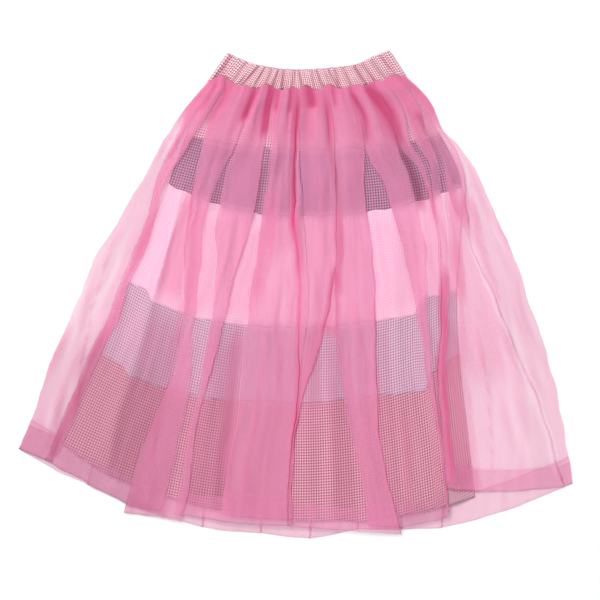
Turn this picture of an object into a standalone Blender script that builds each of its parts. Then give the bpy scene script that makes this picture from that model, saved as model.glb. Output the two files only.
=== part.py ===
"""A girl's skirt laid flat on a table, seen from above with its waist towards +Y.

Five tiers of small cotton check make the inner skirt. A fuller and longer overskirt of sheer organza lies
over it, gathered into the same elastic waistband. Every panel is a wall of cloth that lies on the one below:

    overskirt back, inner skirt back, inner skirt front, overskirt front

A fan of rows gives each skirt its outline. A place on it is (across, depth): across runs from -1 at the left
edge to 1 at the right one, and depth from 0 at the waist seam to 1 at the hem.

Units are metres, +Z up. The origin is under the middle of the skirt, on the table.
"""

import math
from collections import namedtuple

import bpy
import numpy as np
from mathutils import Vector

MM = 0.001

# Cloth and how it is stacked, in mm
SEAM_GAP = 0.4          # between the edges of two pieces sewn together
LAYER_GAP = 0.3         # between a panel and the one that lies on it
COTTON_WALL = 1.0
ORGANZA_WALL = 1.2
PLEAT_WALL = 3.0        # a pleat is three layers of organza
PLEAT_HEM_WALL = 3.6
BAND_WALL = 2.2         # a doubled strip with the elastic in it
HEM_TURN_UP = 28.0
INNER_FOLD_RISE = 0.8   # how proud the folds of the inner skirt's front stand
CROWN_RISE = 1.5        # how much higher the overskirt's front lies along its middle

ROW_BEND = 2.2          # power of the curve by which a row rises towards the sides
LENGTH = 538.0          # of the overskirt along its middle, from the waist seam to the hem

# How the overskirt's front comes down from the inner skirt onto its own back, in mm out from the inner edge
RAMP_START = 12.0
RAMP_END = 34.0
HEM_LIFT_START = 0.86   # the depth at which it starts to rise over the back's doubled hem
HEM_LIFT_END = 0.92

Row = namedtuple("Row", "depth left_x left_y right_x right_y middle_x middle_y")

OVERSKIRT_ROWS = (
    Row(0.00, -105.0, 255.0, 131.0, 262.0, 10.0, 244.0),
    Row(0.07, -128.0, 229.0, 158.0, 236.0, 10.0, 207.0),
    Row(0.14, -148.5, 201.0, 174.0, 202.0, 9.5, 169.0),
    Row(0.21, -167.5, 171.0, 200.0, 173.0, 9.0, 131.0),
    Row(0.28, -182.0, 141.5, 219.5, 141.5, 8.5, 93.5),
    Row(0.40, -212.0, 89.5, 245.0, 83.5, 7.0, 29.0),
    Row(0.52, -243.0, 39.0, 270.5, 23.5, 5.5, -35.5),
    Row(0.61, -260.5, -2.0, 284.5, -23.5, 4.5, -84.0),
    Row(0.69, -275.5, -38.0, 298.0, -64.0, 3.5, -127.0),
    Row(0.78, -293.0, -78.5, 312.0, -111.0, 2.5, -175.5),
    Row(0.86, -305.0, -115.0, 321.0, -153.0, 1.5, -218.5),
    Row(0.94, -317.5, -152.0, 328.0, -195.5, 1.0, -261.5),
    Row(1.00, -331.0, -185.5, 331.0, -227.5, 0.5, -294.0),
)

INNER_ROWS = (
    Row(0.00, -103.5, 254.2, 129.5, 261.2, 10.0, 244.0),
    Row(0.13, -131.5, 191.5, 174.5, 189.5, 9.0, 173.5),
    Row(0.28, -152.5, 133.0, 199.0, 129.5, 5.5, 94.0),
    Row(0.40, -175.0, 77.0, 197.0, 62.0, 1.0, 28.5),
    Row(0.53, -202.0, 17.0, 193.0, 3.0, -3.0, -38.0),
    Row(0.71, -233.5, -71.0, 196.0, -75.0, -5.5, -128.0),
    Row(0.85, -261.0, -128.0, 206.0, -165.0, -6.0, -201.0),
    Row(1.00, -286.0, -175.5, 215.0, -243.0, -7.0, -275.5),
)

# The inner skirt's tiers, between these depths
Tier = namedtuple("Tier", "number top bottom colour")

TIERS = (
    Tier(1, 0.00, 0.13, (0.72, 0.30, 0.40)),
    Tier(2, 0.13, 0.28, (0.29, 0.13, 0.24)),
    Tier(3, 0.28, 0.53, (0.90, 0.62, 0.72)),
    Tier(4, 0.53, 0.71, (0.42, 0.40, 0.52)),
    Tier(5, 0.71, 1.00, (0.58, 0.22, 0.32)),
)

# The overskirt's front pleats: where each one's edges lie across the skirt at four depths, and how deep its
# two bottom corners hang
Pleat = namedtuple(
    "Pleat",
    "yoke_left yoke_right thigh_left thigh_right knee_left knee_right hem_left hem_right end_left end_right",
)
PLEAT_DEPTHS = (0.14, 0.40, 0.69, 1.00)

FRONT_PLEATS = (
    Pleat(-0.950, -0.880, -0.910, -0.860, -0.905, -0.860, -0.930, -0.890, 0.988, 0.986),
    Pleat(-0.770, -0.570, -0.700, -0.585, -0.550, -0.455, -0.615, -0.500, 1.008, 0.994),
    Pleat(-0.510, -0.330, -0.450, -0.235, -0.245, -0.010, -0.275, -0.030, 0.992, 0.998),
    Pleat(0.050, 0.400, 0.060, 0.370, 0.190, 0.316, 0.270, 0.377, 0.990, 1.001),
    Pleat(0.500, 0.660, 0.535, 0.655, 0.590, 0.660, 0.548, 0.610, 0.920, 0.930),
    Pleat(0.790, 0.860, 0.842, 0.872, 0.900, 0.925, 0.962, 0.980, 0.998, 1.000),
)
PLEAT_STEP = 0.006      # how far, across, a pleat takes to stand up at its edge
OPEN_SPACING = 0.055    # the most between two fold lines, across, off the pleats and on them
PLEAT_SPACING = 0.12
GATHERS_END = 0.14      # above this depth the gathers close up between the pleats, over this much more
GATHERS_FADE = 0.06
GATHERS_FILL = 0.8      # how nearly they close up
BACK_COLUMNS = 27

# The depths at which the overskirt's cloth is shaped, above its hem
BACK_DEPTHS = (0.0, 0.07, 0.14, 0.21, 0.28, 0.40, 0.52, 0.61, 0.69, 0.78, 0.86)
FRONT_DEPTHS = (0.0, 0.05, 0.10, 0.17, 0.25, 0.34, 0.43, 0.52, 0.61, 0.70, 0.79, 0.88)
TURN_UP = HEM_TURN_UP / LENGTH
HEM_STEP = 0.006        # how far, in depth, the turned-up hem's upper edge takes to stand up

# The hem of the overskirt between its pleats, and of its back, as places across and the depth reached there
HemPoint = namedtuple("HemPoint", "across depth")

FRONT_HEM = (
    HemPoint(-1.000, 1.000),
    HemPoint(-0.900, 0.986),
    HemPoint(-0.620, 0.988),
    HemPoint(-0.500, 0.994),
    HemPoint(-0.280, 0.992),
    HemPoint(0.000, 1.000),
    HemPoint(0.250, 0.982),
    HemPoint(0.380, 0.989),
    HemPoint(0.547, 0.985),
    HemPoint(0.612, 0.930),
    HemPoint(0.760, 0.955),
    HemPoint(0.960, 0.999),
    HemPoint(1.000, 1.000),
)
BACK_HEM = (
    HemPoint(-1.000, 1.000),
    HemPoint(-0.900, 0.990),
    HemPoint(-0.620, 0.990),
    HemPoint(0.000, 0.985),
    HemPoint(0.250, 0.975),
    HemPoint(0.520, 1.006),
    HemPoint(0.760, 1.010),
    HemPoint(0.960, 1.008),
    HemPoint(1.000, 1.000),
)

# Soft folds down the inner skirt's front: place across at the waist and at the hem, and half their width
InnerFold = namedtuple("InnerFold", "top_across hem_across half_width")

INNER_FOLDS = (
    InnerFold(-0.80, -0.72, 0.10),
    InnerFold(-0.42, -0.34, 0.12),
    InnerFold(-0.02, -0.06, 0.11),
    InnerFold(0.38, 0.36, 0.12),
    InnerFold(0.80, 0.86, 0.09),
)

FOLDS_START = 0.12      # the folds have their full height below this depth
INNER_FRONT_COLUMNS = 29
INNER_BACK_COLUMNS = 17
TIER_ROW_HEIGHT = 0.08  # the most, in depth, between a tier's rows

# The waistband's top edge, from its left end to its right one
BandTop = namedtuple("BandTop", "across x y")

BAND_TOP = (
    BandTop(-1.00, -81.0, 290.0),
    BandTop(-0.82, -61.0, 279.5),
    BandTop(-0.45, -29.0, 270.5),
    BandTop(0.00, 7.0, 268.0),
    BandTop(0.35, 41.0, 270.0),
    BandTop(0.62, 72.0, 274.5),
    BandTop(0.88, 98.0, 287.0),
    BandTop(1.00, 111.5, 293.0),
)
BAND_COLUMNS = 28
BAND_HALF_WIDTH = 118.0
BAND_BACK_RISE = 1.8    # how far the back of the band shows above the front
BAND_RUFFLE = 0.35      # how deep its gathers are
BAND_FRONT_Z = 6.1      # the middle of its front wall
BAND_BACK_Z = BAND_WALL / 2

OVER_BACK_Z = 0.0
INNER_BACK_Z = OVER_BACK_Z + 2 * ORGANZA_WALL + LAYER_GAP
INNER_FRONT_Z = INNER_BACK_Z + COTTON_WALL + LAYER_GAP
OVER_FRONT_Z = INNER_FRONT_Z + COTTON_WALL + INNER_FOLD_RISE + LAYER_GAP

ORGANZA_PINK = (0.80, 0.25, 0.42)
BAND_ROSE = (0.76, 0.38, 0.47)


def clear_scene():
    """Start from an empty file."""
    for obj in list(bpy.data.objects):
        bpy.data.objects.remove(obj)


def smooth_step(value):
    """Ease from 0 to 1 as value goes from 0 to 1."""
    held = min(max(value, 0.0), 1.0)
    return held * held * (3 - 2 * held)


def curve_through(places, values, place):
    """The value at a place on a smooth curve through the given ones. Past an end it goes on straight."""
    slopes = np.gradient(np.array(values, dtype=float), np.array(places, dtype=float))
    if place <= places[0]:
        return values[0] + slopes[0] * (place - places[0])
    if place >= places[-1]:
        return values[-1] + slopes[-1] * (place - places[-1])
    left = int(np.searchsorted(places, place, side="right")) - 1
    span = places[left + 1] - places[left]
    t = (place - places[left]) / span
    rise = values[left + 1] - values[left]
    bend_in = slopes[left] * span - rise
    bend_out = rise - slopes[left + 1] * span
    return values[left] + rise * t + t * (1 - t) * (bend_in * (1 - t) + bend_out * t)


def fan_point(rows, across, depth):
    """The (x, y) of a place on a fan of rows, in mm."""
    depths = [row.depth for row in rows]

    def column(name):
        return curve_through(depths, [getattr(row, name) for row in rows], depth)

    side = "left" if across < 0 else "right"
    middle_x, middle_y = column("middle_x"), column("middle_y")
    reach = abs(across)
    x = middle_x + (column(side + "_x") - middle_x) * reach
    y = middle_y + (column(side + "_y") - middle_y) * reach ** ROW_BEND
    return x, y


def out_from_inner(x, y):
    """How far, in mm, a point lies outside the inner skirt's side edges. Inside, it is negative."""
    ys = [row.left_y for row in reversed(INNER_ROWS)]
    left = float(np.interp(y, ys, [row.left_x for row in reversed(INNER_ROWS)]))
    ys = [row.right_y for row in reversed(INNER_ROWS)]
    right = float(np.interp(y, ys, [row.right_x for row in reversed(INNER_ROWS)]))
    return max(left - x, x - right)


def material(name, colour, roughness, alpha=1.0):
    """A plain cloth finish."""
    finish = bpy.data.materials.new(name)
    finish.use_nodes = True
    shader = finish.node_tree.nodes["Principled BSDF"]
    shader.inputs["Base Color"].default_value = (*colour, 1.0)
    shader.inputs["Roughness"].default_value = roughness
    shader.inputs["Metallic"].default_value = 0.0
    shader.inputs["Alpha"].default_value = alpha
    return finish


def cloth(name, grid, closed, finish, collection):
    """An open sheet through a grid of points in mm: rows go down the skirt, columns across it."""
    rows, columns = len(grid), len(grid[0])
    points = [tuple(value * MM for value in point) for row in grid for point in row]
    faces = []
    for r in range(rows - 1):
        for c in range(columns if closed else columns - 1):
            after = (c + 1) % columns
            above, below = r * columns, (r + 1) * columns
            faces.append((above + c, below + c, below + after, above + after))
    mesh = bpy.data.meshes.new(name)
    mesh.from_pydata(points, [], faces)
    mesh.materials.append(finish)
    obj = bpy.data.objects.new(name, mesh)
    collection.objects.link(obj)
    return obj


def thicken(obj, thickness, offset, layers=None):
    """Give a sheet its wall. layers holds each point's share of the thickness, where it varies."""
    wall = obj.modifiers.new("Wall", "SOLIDIFY")
    wall.thickness = thickness * MM
    wall.offset = offset
    if layers is None:
        return
    group = obj.vertex_groups.new(name="layers")
    for index, share in enumerate(layers):
        group.add([index], share, "REPLACE")
    wall.vertex_group = group.name


def hem_depth(hem, across):
    """The depth that a hem reaches at a place across."""
    return float(np.interp(across, [point.across for point in hem], [point.depth for point in hem]))


def overskirt_back(collection):
    """The back panel: flat on the table, its hem turned up on the inside."""
    finish = material("organza_back", ORGANZA_PINK, 0.5, 0.6)
    columns = np.linspace(-1.0, 1.0, BACK_COLUMNS)
    grid, layers = [], []
    for depth in BACK_DEPTHS:
        grid.append([(*fan_point(OVERSKIRT_ROWS, across, depth), OVER_BACK_Z) for across in columns])
        layers += [0.5] * len(columns)
    for short, share in ((TURN_UP + HEM_STEP, 0.5), (TURN_UP, 1.0), (0.0, 1.0)):
        places = [(across, hem_depth(BACK_HEM, across) - short) for across in columns]
        grid.append([(*fan_point(OVERSKIRT_ROWS, *place), OVER_BACK_Z) for place in places])
        layers += [share] * len(columns)
    panel = cloth("overskirt_back", grid, False, finish, collection)
    thicken(panel, 2 * ORGANZA_WALL, 1.0, layers)


def between(left, right, t):
    """Places across, part of the way from one fold line to the next."""
    return [a + (b - a) * t for a, b in zip(left, right)]


def front_lines():
    """The fold lines of the overskirt's front, left to right. Each has its places across at PLEAT_DEPTHS,
    the depth its hem reaches, and whether it lies on a pleat."""
    lines = []

    def unpleated(left, right, steps):
        """Lines from left, which is there already, to right."""
        for step in range(1, steps + 1):
            places = between(left, right, step / steps)
            lines.append((places, hem_depth(FRONT_HEM, places[-1]), False))

    edge = [-1.0] * len(PLEAT_DEPTHS)
    lines.append((edge, hem_depth(FRONT_HEM, -1.0), False))
    for pleat in FRONT_PLEATS:
        left = [pleat.yoke_left, pleat.thigh_left, pleat.knee_left, pleat.hem_left]
        right = [pleat.yoke_right, pleat.thigh_right, pleat.knee_right, pleat.hem_right]
        foot = [place - PLEAT_STEP for place in left]
        gap = max(b - a for a, b in zip(edge, foot))
        unpleated(edge, foot, max(2, math.ceil(gap / OPEN_SPACING)))
        steps = math.ceil(max(b - a for a, b in zip(left, right)) / PLEAT_SPACING)
        for step in range(steps + 1):
            end = pleat.end_left + (pleat.end_right - pleat.end_left) * step / steps
            lines.append((between(left, right, step / steps), end, True))
        edge = [place + PLEAT_STEP for place in right]
        lines.append((edge, hem_depth(FRONT_HEM, edge[-1]), False))
    unpleated(edge, [1.0] * len(PLEAT_DEPTHS), 2)
    return lines


def front_height(x, y, across, depth):
    """The height of the overskirt front's underside: over the inner skirt, or down on its own back."""
    hem = smooth_step((depth - HEM_LIFT_START) / (HEM_LIFT_END - HEM_LIFT_START))
    low = OVER_BACK_Z + ORGANZA_WALL * (1 + hem) + LAYER_GAP
    high = OVER_FRONT_Z + CROWN_RISE * (1 - across * across)
    fall = smooth_step((out_from_inner(x, y) - RAMP_START) / (RAMP_END - RAMP_START))
    return high + (low - high) * fall


def front_wall(pleated, doubled, depth):
    """The overskirt front's thickness. Near the waist the gathers close up between the pleats."""
    if pleated:
        return PLEAT_HEM_WALL if doubled else PLEAT_WALL
    wall = ORGANZA_WALL * (2 if doubled else 1)
    gathered = smooth_step((GATHERS_END - depth) / GATHERS_FADE)
    return wall + (PLEAT_WALL - wall) * gathered * GATHERS_FILL


def overskirt_front(collection):
    """The front panel, with its pleats as bands three layers thick and its hem turned up."""
    finish = material("organza_front", ORGANZA_PINK, 0.5, 0.6)
    lines = front_lines()
    hem_rows = (TURN_UP + HEM_STEP, TURN_UP, 0.0)
    grid, layers = [], []
    for row in range(len(FRONT_DEPTHS) + len(hem_rows)):
        points = []
        doubled = row > len(FRONT_DEPTHS)
        for places, end, pleated in lines:
            if row < len(FRONT_DEPTHS):
                depth = FRONT_DEPTHS[row] * min(1.0, end)
            else:
                depth = end - hem_rows[row - len(FRONT_DEPTHS)]
            across = curve_through(PLEAT_DEPTHS, places, max(depth, PLEAT_DEPTHS[0]))
            x, y = fan_point(OVERSKIRT_ROWS, across, depth)
            points.append((x, y, front_height(x, y, across, depth)))
            layers.append(front_wall(pleated, doubled, depth) / PLEAT_HEM_WALL)
        grid.append(points)
    panel = cloth("overskirt_front", grid, False, finish, collection)
    thicken(panel, PLEAT_HEM_WALL, 1.0, layers)


def inner_rise(across, depth):
    """How proud the inner skirt's front stands on its soft folds."""
    rise = 0.0
    for fold in INNER_FOLDS:
        centre = fold.top_across + (fold.hem_across - fold.top_across) * depth
        near = 1 - abs(across - centre) / fold.half_width
        rise = max(rise, smooth_step(near))
    return INNER_FOLD_RISE * rise * smooth_step(depth / FOLDS_START)


def inner_tier(tier, front, finish, collection):
    """One tier of the inner skirt, a little short of its neighbours at each seam."""
    side = "front" if front else "back"
    columns = np.linspace(-1.0, 1.0, INNER_FRONT_COLUMNS if front else INNER_BACK_COLUMNS)
    rows = np.linspace(tier.top, tier.bottom, 1 + math.ceil((tier.bottom - tier.top) / TIER_ROW_HEIGHT))
    height = INNER_FRONT_Z if front else INNER_BACK_Z
    grid = []
    for number, depth in enumerate(rows):
        shift = 0.0
        if number == 0 and tier.top > 0.0:
            shift = -SEAM_GAP / 2
        elif number == len(rows) - 1 and tier.bottom < 1.0:
            shift = SEAM_GAP / 2
        line = []
        for across in columns:
            x, y = fan_point(INNER_ROWS, across, depth)
            rise = inner_rise(across, depth) if front else 0.0
            line.append((x, y + shift, height + rise))
        grid.append(line)
    panel = cloth(f"inner_{side}_tier_{tier.number}", grid, False, finish, collection)
    thicken(panel, COTTON_WALL, 1.0)


def inner_skirt(collection):
    """The five tiers, back and front."""
    for tier in TIERS:
        finish = material(f"check_tier_{tier.number}", tier.colour, 0.85)
        inner_tier(tier, False, finish, collection)
        inner_tier(tier, True, finish, collection)


def band_edges(across, back):
    """The band's (x, y) at its top and lower edge, at a place across."""
    top_x = float(np.interp(across, [b.across for b in BAND_TOP], [b.x for b in BAND_TOP]))
    top_y = float(np.interp(across, [b.across for b in BAND_TOP], [b.y for b in BAND_TOP]))
    if back:
        top_y += BAND_BACK_RISE * (1 - across ** 4)
    low_x, low_y = fan_point(OVERSKIRT_ROWS, across, 0.0)
    return (top_x, top_y), (low_x, low_y + SEAM_GAP)


def waistband(collection):
    """A flattened ring: the front wall, a fold at each end and the back wall under it."""
    finish = material("check_band", BAND_ROSE, 0.8)
    loop = []
    middle = (BAND_FRONT_Z + BAND_BACK_Z) / 2
    fold = (BAND_FRONT_Z - BAND_BACK_Z) / 2
    inset = 1.0 - fold / BAND_HALF_WIDTH

    for step in range(BAND_COLUMNS + 1):
        across = inset * (2 * step / BAND_COLUMNS - 1)
        ruffle = BAND_RUFFLE * (-1) ** step if 0 < step < BAND_COLUMNS else 0.0
        loop.append((across, BAND_FRONT_Z + ruffle, False))
    for turn in (45, 90, 135):
        angle = math.radians(turn)
        loop.append((inset + (1 - inset) * math.sin(angle), middle + fold * math.cos(angle), turn > 90))
    for step in range(BAND_COLUMNS + 1):
        across = inset * (1 - 2 * step / BAND_COLUMNS)
        loop.append((across, BAND_BACK_Z, True))
    for turn in (45, 90, 135):
        angle = math.radians(turn)
        loop.append((-inset - (1 - inset) * math.sin(angle), middle - fold * math.cos(angle), turn < 90))

    grid = []
    for share in (1.0, 0.5, 0.0):
        line = []
        for across, z, back in loop:
            (top_x, top_y), (low_x, low_y) = band_edges(across, back)
            line.append((low_x + (top_x - low_x) * share, low_y + (top_y - low_y) * share, z))
        grid.append(line)
    band = cloth("waistband", grid, True, finish, collection)
    thicken(band, BAND_WALL, 0.0)


def centre_on_floor(collection):
    """Move every piece so that the middle of the skirt's box is on the Z axis and its underside at zero."""
    bpy.context.view_layer.update()
    graph = bpy.context.evaluated_depsgraph_get()
    corners = [
        obj.matrix_world @ Vector(corner)
        for obj in collection.objects
        for corner in obj.evaluated_get(graph).bound_box
    ]
    low = Vector(tuple(min(corner[axis] for corner in corners) for axis in range(3)))
    high = Vector(tuple(max(corner[axis] for corner in corners) for axis in range(3)))
    for obj in collection.objects:
        obj.location = (-(low.x + high.x) / 2, -(low.y + high.y) / 2, -low.z)


def main():
    clear_scene()
    collection = bpy.data.collections.new("gingham_skirt")
    bpy.context.scene.collection.children.link(collection)
    overskirt_back(collection)
    inner_skirt(collection)
    overskirt_front(collection)
    waistband(collection)
    centre_on_floor(collection)


main()
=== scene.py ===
"""A girl's skirt laid flat on a table, seen from straight above with its waist towards +Y.

Five gathered tiers of small cotton check hang from a ruched elastic waistband, under a longer and fuller
overskirt of sheer pink organza. The organza falls in soft flat folds. A fold of three layers shows as a dense
pink stripe, and the cotton shows through the single layer between two of them.

A fan of rows gives each skirt its outline. A place on it is (across, depth): across runs from -1 at the left
edge to 1 at the right one, and depth from 0 at the waist seam to 1 at the hem.

Shapes are worked out in mm, and become metres when their mesh is made. +Z is up off the table.
"""

import math
import random
from collections import namedtuple

import bpy
import numpy as np
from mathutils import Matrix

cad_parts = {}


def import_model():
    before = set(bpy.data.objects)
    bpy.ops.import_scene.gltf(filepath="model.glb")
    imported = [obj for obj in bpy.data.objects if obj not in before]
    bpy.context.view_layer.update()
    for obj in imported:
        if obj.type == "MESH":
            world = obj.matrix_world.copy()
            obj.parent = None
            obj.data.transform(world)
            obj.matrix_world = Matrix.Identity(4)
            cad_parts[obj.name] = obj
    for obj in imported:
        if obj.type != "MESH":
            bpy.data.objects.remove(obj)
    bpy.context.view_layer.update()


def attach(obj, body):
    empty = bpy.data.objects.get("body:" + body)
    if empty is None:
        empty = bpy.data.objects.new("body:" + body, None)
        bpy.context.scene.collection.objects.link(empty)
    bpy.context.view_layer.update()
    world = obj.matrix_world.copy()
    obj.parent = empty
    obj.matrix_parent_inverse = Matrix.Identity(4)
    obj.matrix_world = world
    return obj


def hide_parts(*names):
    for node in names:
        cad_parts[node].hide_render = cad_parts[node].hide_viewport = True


MM = 0.001

# ---------------------------------------------------------------- outlines, in mm

Row = namedtuple("Row", "depth left_x left_y right_x right_y middle_x middle_y")

ROW_BEND = 2.2          # power of the curve by which a row rises towards the sides
LENGTH = 538.0          # of the overskirt along its middle

OVERSKIRT_ROWS = (
    Row(0.00, -105.0, 255.0, 131.0, 262.0, 10.0, 244.0),
    Row(0.07, -128.0, 229.0, 158.0, 236.0, 10.0, 207.0),
    Row(0.14, -148.5, 201.0, 174.0, 202.0, 9.5, 169.0),
    Row(0.21, -167.5, 171.0, 200.0, 173.0, 9.0, 131.0),
    Row(0.28, -182.0, 141.5, 219.5, 141.5, 8.5, 93.5),
    Row(0.40, -212.0, 89.5, 245.0, 83.5, 7.0, 29.0),
    Row(0.52, -243.0, 39.0, 270.5, 23.5, 5.5, -35.5),
    Row(0.61, -260.5, -2.0, 284.5, -23.5, 4.5, -84.0),
    Row(0.69, -275.5, -38.0, 298.0, -64.0, 3.5, -127.0),
    Row(0.78, -293.0, -78.5, 312.0, -111.0, 2.5, -175.5),
    Row(0.86, -305.0, -115.0, 321.0, -153.0, 1.5, -218.5),
    Row(0.94, -317.5, -152.0, 328.0, -195.5, 1.0, -261.5),
    Row(1.00, -331.0, -185.5, 331.0, -227.5, 0.5, -294.0),
)

INNER_ROWS = (
    Row(0.00, -103.5, 254.2, 129.5, 261.2, 10.0, 244.0),
    Row(0.13, -131.5, 191.5, 174.5, 189.5, 9.0, 173.5),
    Row(0.28, -152.5, 133.0, 199.0, 129.5, 5.5, 94.0),
    Row(0.40, -175.0, 77.0, 197.0, 62.0, 1.0, 28.5),
    Row(0.53, -202.0, 17.0, 193.0, 3.0, -3.0, -38.0),
    Row(0.71, -233.5, -71.0, 196.0, -75.0, -5.5, -128.0),
    Row(0.85, -261.0, -128.0, 206.0, -165.0, -6.0, -201.0),
    Row(1.00, -286.0, -175.5, 215.0, -243.0, -7.0, -275.5),
)

# ---------------------------------------------------------------- how the cloth is stacked, in mm

OVER_BACK_Z = 0.3
INNER_BACK_Z = 3.0
BACK_SEAM_Z = 1.0       # of the inner back at its side seams
INNER_FRONT_Z = 4.7
SIDE_SEAM_Z = 1.5       # of the inner front where it meets its back
SIDE_EASE = 26.0        # how far in from a side seam the inner skirt comes up to its height
OVER_FRONT_LIFT = 1.3   # of the organza over the inner skirt below it
OVER_FRONT_LOW = 2.0    # its height where it lies on its own back
OVER_SEAM_Z = 1.2       # its height at its side seams
OVER_SEAM_EASE = 9.0    # how far in from a side seam it comes up to its height
RAMP_START = 10.0       # it comes down between these, in mm out from the inner skirt's edge
RAMP_END = 34.0
COTTON = 0.45
LAYER_STEP = 0.85       # between the layers of a fold of organza
TURN_RADIUS = 0.65      # of the cloth at the edge of a fold
SOFT_RISE = 6.0         # how far the top layer takes to climb onto its fold
HEM_GAP = 0.22          # between the panel and its turned-up hem

# ---------------------------------------------------------------- the cloth that was cut, in metres

ORGANZA_CUT = (1.05, 0.566)
BAND_CUT = (0.60, 0.030)    # once the strip is folded in half along its length
CHECK = 0.0033          # one repeat of the gingham
COTTON_THREAD = 0.00028
ORGANZA_THREAD = 0.0004
UNDER_HEM_SHIFT = 0.1   # how far off the turned-up hem's weave lies on the UV map

# ---------------------------------------------------------------- colours

ORGANZA_PINK = (0.95, 0.345, 0.585)
FOLD_PINK = (0.82, 0.09, 0.26)
PINK_SHADE_TINT = (0.80, 0.87, 0.83)     # painted shade: what multiplies the pink where shade is painted on it
TONE_SHADE = (0.86, 0.78, 0.82)     # and in its darker streaks
PAINTED_SHADE_TINT = (0.62, 0.30, 0.40)   # painted shade: what multiplies the cotton where shade falls beside its folds and in the band's gathers
HEM_VEIL = (0.66, 0.38, 0.50)       # the inner hem, seen through the layers at its corner
LAYER_COVER = 0.19      # how much one flat layer of organza hides

# ---------------------------------------------------------------- the overskirt's folds

# Where the two edges of each fold lie across the skirt at PLEAT_DEPTHS. `crisp` is the edge at which its top
# layer turns under. end_left and end_right are the depths that its two bottom corners reach.
Pleat = namedtuple("Pleat", "crisp end_left end_right left right")

PLEAT_DEPTHS = (0, 0.07, 0.14, 0.21, 0.28, 0.40, 0.52, 0.61, 0.69, 0.85, 1)

FRONT_PLEATS = (
    Pleat("left", 0.988, 0.986,
          (-0.985, -0.982, -0.950, -0.930, -0.918, -0.875, -0.860, -0.861, -0.873, -0.897, -0.915),
          (-0.820, -0.815, -0.832, -0.850, -0.876, -0.838, -0.825, -0.828, -0.842, -0.868, -0.893)),
    Pleat("left", 1.008, 0.994,
          (-0.800, -0.795, -0.750, -0.715, -0.700, -0.640, -0.565, -0.547, -0.548, -0.605, -0.614),
          (-0.520, -0.515, -0.520, -0.572, -0.598, -0.552, -0.507, -0.486, -0.473, -0.482, -0.500)),
    Pleat("right", 0.994, 0.993,
          (-0.500, -0.498, -0.510, -0.522, -0.530, -0.466, -0.423, -0.422, -0.428, -0.442, -0.445),
          (-0.320, -0.315, -0.309, -0.304, -0.320, -0.350, -0.367, -0.384, -0.403, -0.415, -0.420)),
    Pleat("right", 0.972, 0.969,
          (-0.300, -0.290, -0.250, -0.240, -0.256, -0.257, -0.257, -0.250, -0.244, -0.270, -0.279),
          (-0.072, -0.069, -0.068, -0.068, -0.054, -0.015, -0.007, -0.005, -0.007, -0.035, -0.032)),
    Pleat("left", 0.969, 0.969,
          (-0.060, -0.055, -0.045, -0.046, -0.048, -0.011, -0.003, 0.002, 0.000, -0.029, -0.027),
          (-0.030, -0.030, -0.030, -0.018, 0.006, 0.030, 0.036, 0.008, 0.003, -0.0265, -0.0245)),
    Pleat("right", 0.969, 0.969,
          (-0.022, -0.020, -0.018, -0.002, 0.011, 0.034, 0.040, 0.012, 0.006, -0.024, -0.022),
          (0.232, 0.230, 0.226, 0.208, 0.190, 0.167, 0.108, 0.062, 0.014, -0.021, -0.019)),
    Pleat("right", 0.990, 1.001,
          (0.240, 0.238, 0.234, 0.216, 0.198, 0.179, 0.160, 0.166, 0.188, 0.235, 0.270),
          (0.450, 0.448, 0.434, 0.374, 0.360, 0.360, 0.340, 0.326, 0.316, 0.328, 0.377)),
    Pleat("left", 0.985, 0.985,
          (0.462, 0.460, 0.456, 0.492, 0.507, 0.527, 0.531, 0.532, 0.533, 0.546, 0.547),
          (0.670, 0.668, 0.676, 0.650, 0.638, 0.624, 0.574, 0.556, 0.547, 0.5505, 0.5515)),
    Pleat("left", 0.984, 0.984,
          (0.690, 0.690, 0.694, 0.724, 0.718, 0.690, 0.630, 0.588, 0.5600, 0.5530, 0.5530),
          (0.800, 0.795, 0.772, 0.752, 0.731, 0.6965, 0.6355, 0.593, 0.5640, 0.5550, 0.5550)),
    Pleat("left", 0.920, 0.930,
          (0.810, 0.806, 0.800, 0.792, 0.738, 0.700, 0.643, 0.600, 0.570, 0.557, 0.556),
          (0.930, 0.918, 0.880, 0.842, 0.790, 0.733, 0.672, 0.627, 0.600, 0.583, 0.604)),
    Pleat("right", 0.998, 1.000,
          (0.950, 0.936, 0.915, 0.880, 0.836, 0.834, 0.858, 0.879, 0.900, 0.934, 0.964),
          (0.990, 0.990, 0.989, 0.968, 0.915, 0.841, 0.863, 0.883, 0.904, 0.938, 0.968)),
)

# The depth that a hem reaches, between its folds
HemPoint = namedtuple("HemPoint", "across depth")

FRONT_HEM = (
    HemPoint(-1.000, 1.000),
    HemPoint(-0.900, 0.986),
    HemPoint(-0.620, 0.988),
    HemPoint(-0.450, 0.985),
    HemPoint(-0.400, 0.970),
    HemPoint(0.000, 0.969),
    HemPoint(0.250, 0.972),
    HemPoint(0.380, 0.989),
    HemPoint(0.547, 0.985),
    HemPoint(0.612, 0.930),
    HemPoint(0.760, 0.955),
    HemPoint(0.960, 0.999),
    HemPoint(1.000, 1.000),
)
BACK_HEM = (
    HemPoint(-1.000, 1.000),
    HemPoint(-0.900, 0.990),
    HemPoint(-0.620, 0.990),
    HemPoint(-0.350, 0.992),
    HemPoint(-0.130, 0.987),
    HemPoint(0.030, 0.998),
    HemPoint(0.130, 0.998),
    HemPoint(0.250, 0.978),
    HemPoint(0.520, 1.006),
    HemPoint(0.760, 1.010),
    HemPoint(0.960, 1.008),
    HemPoint(1.000, 1.000),
)

# The back's folds, as the middle of each at the waist and at the hem, and its width across. Half of a fold is
# the first share of that width at the waist, and less by the second at the hem.
BackPleat = namedtuple("BackPleat", "waist hem width crisp")

BACK_FOLD_AT_WAIST = 0.85
BACK_FOLD_NARROWS = 0.84

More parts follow.
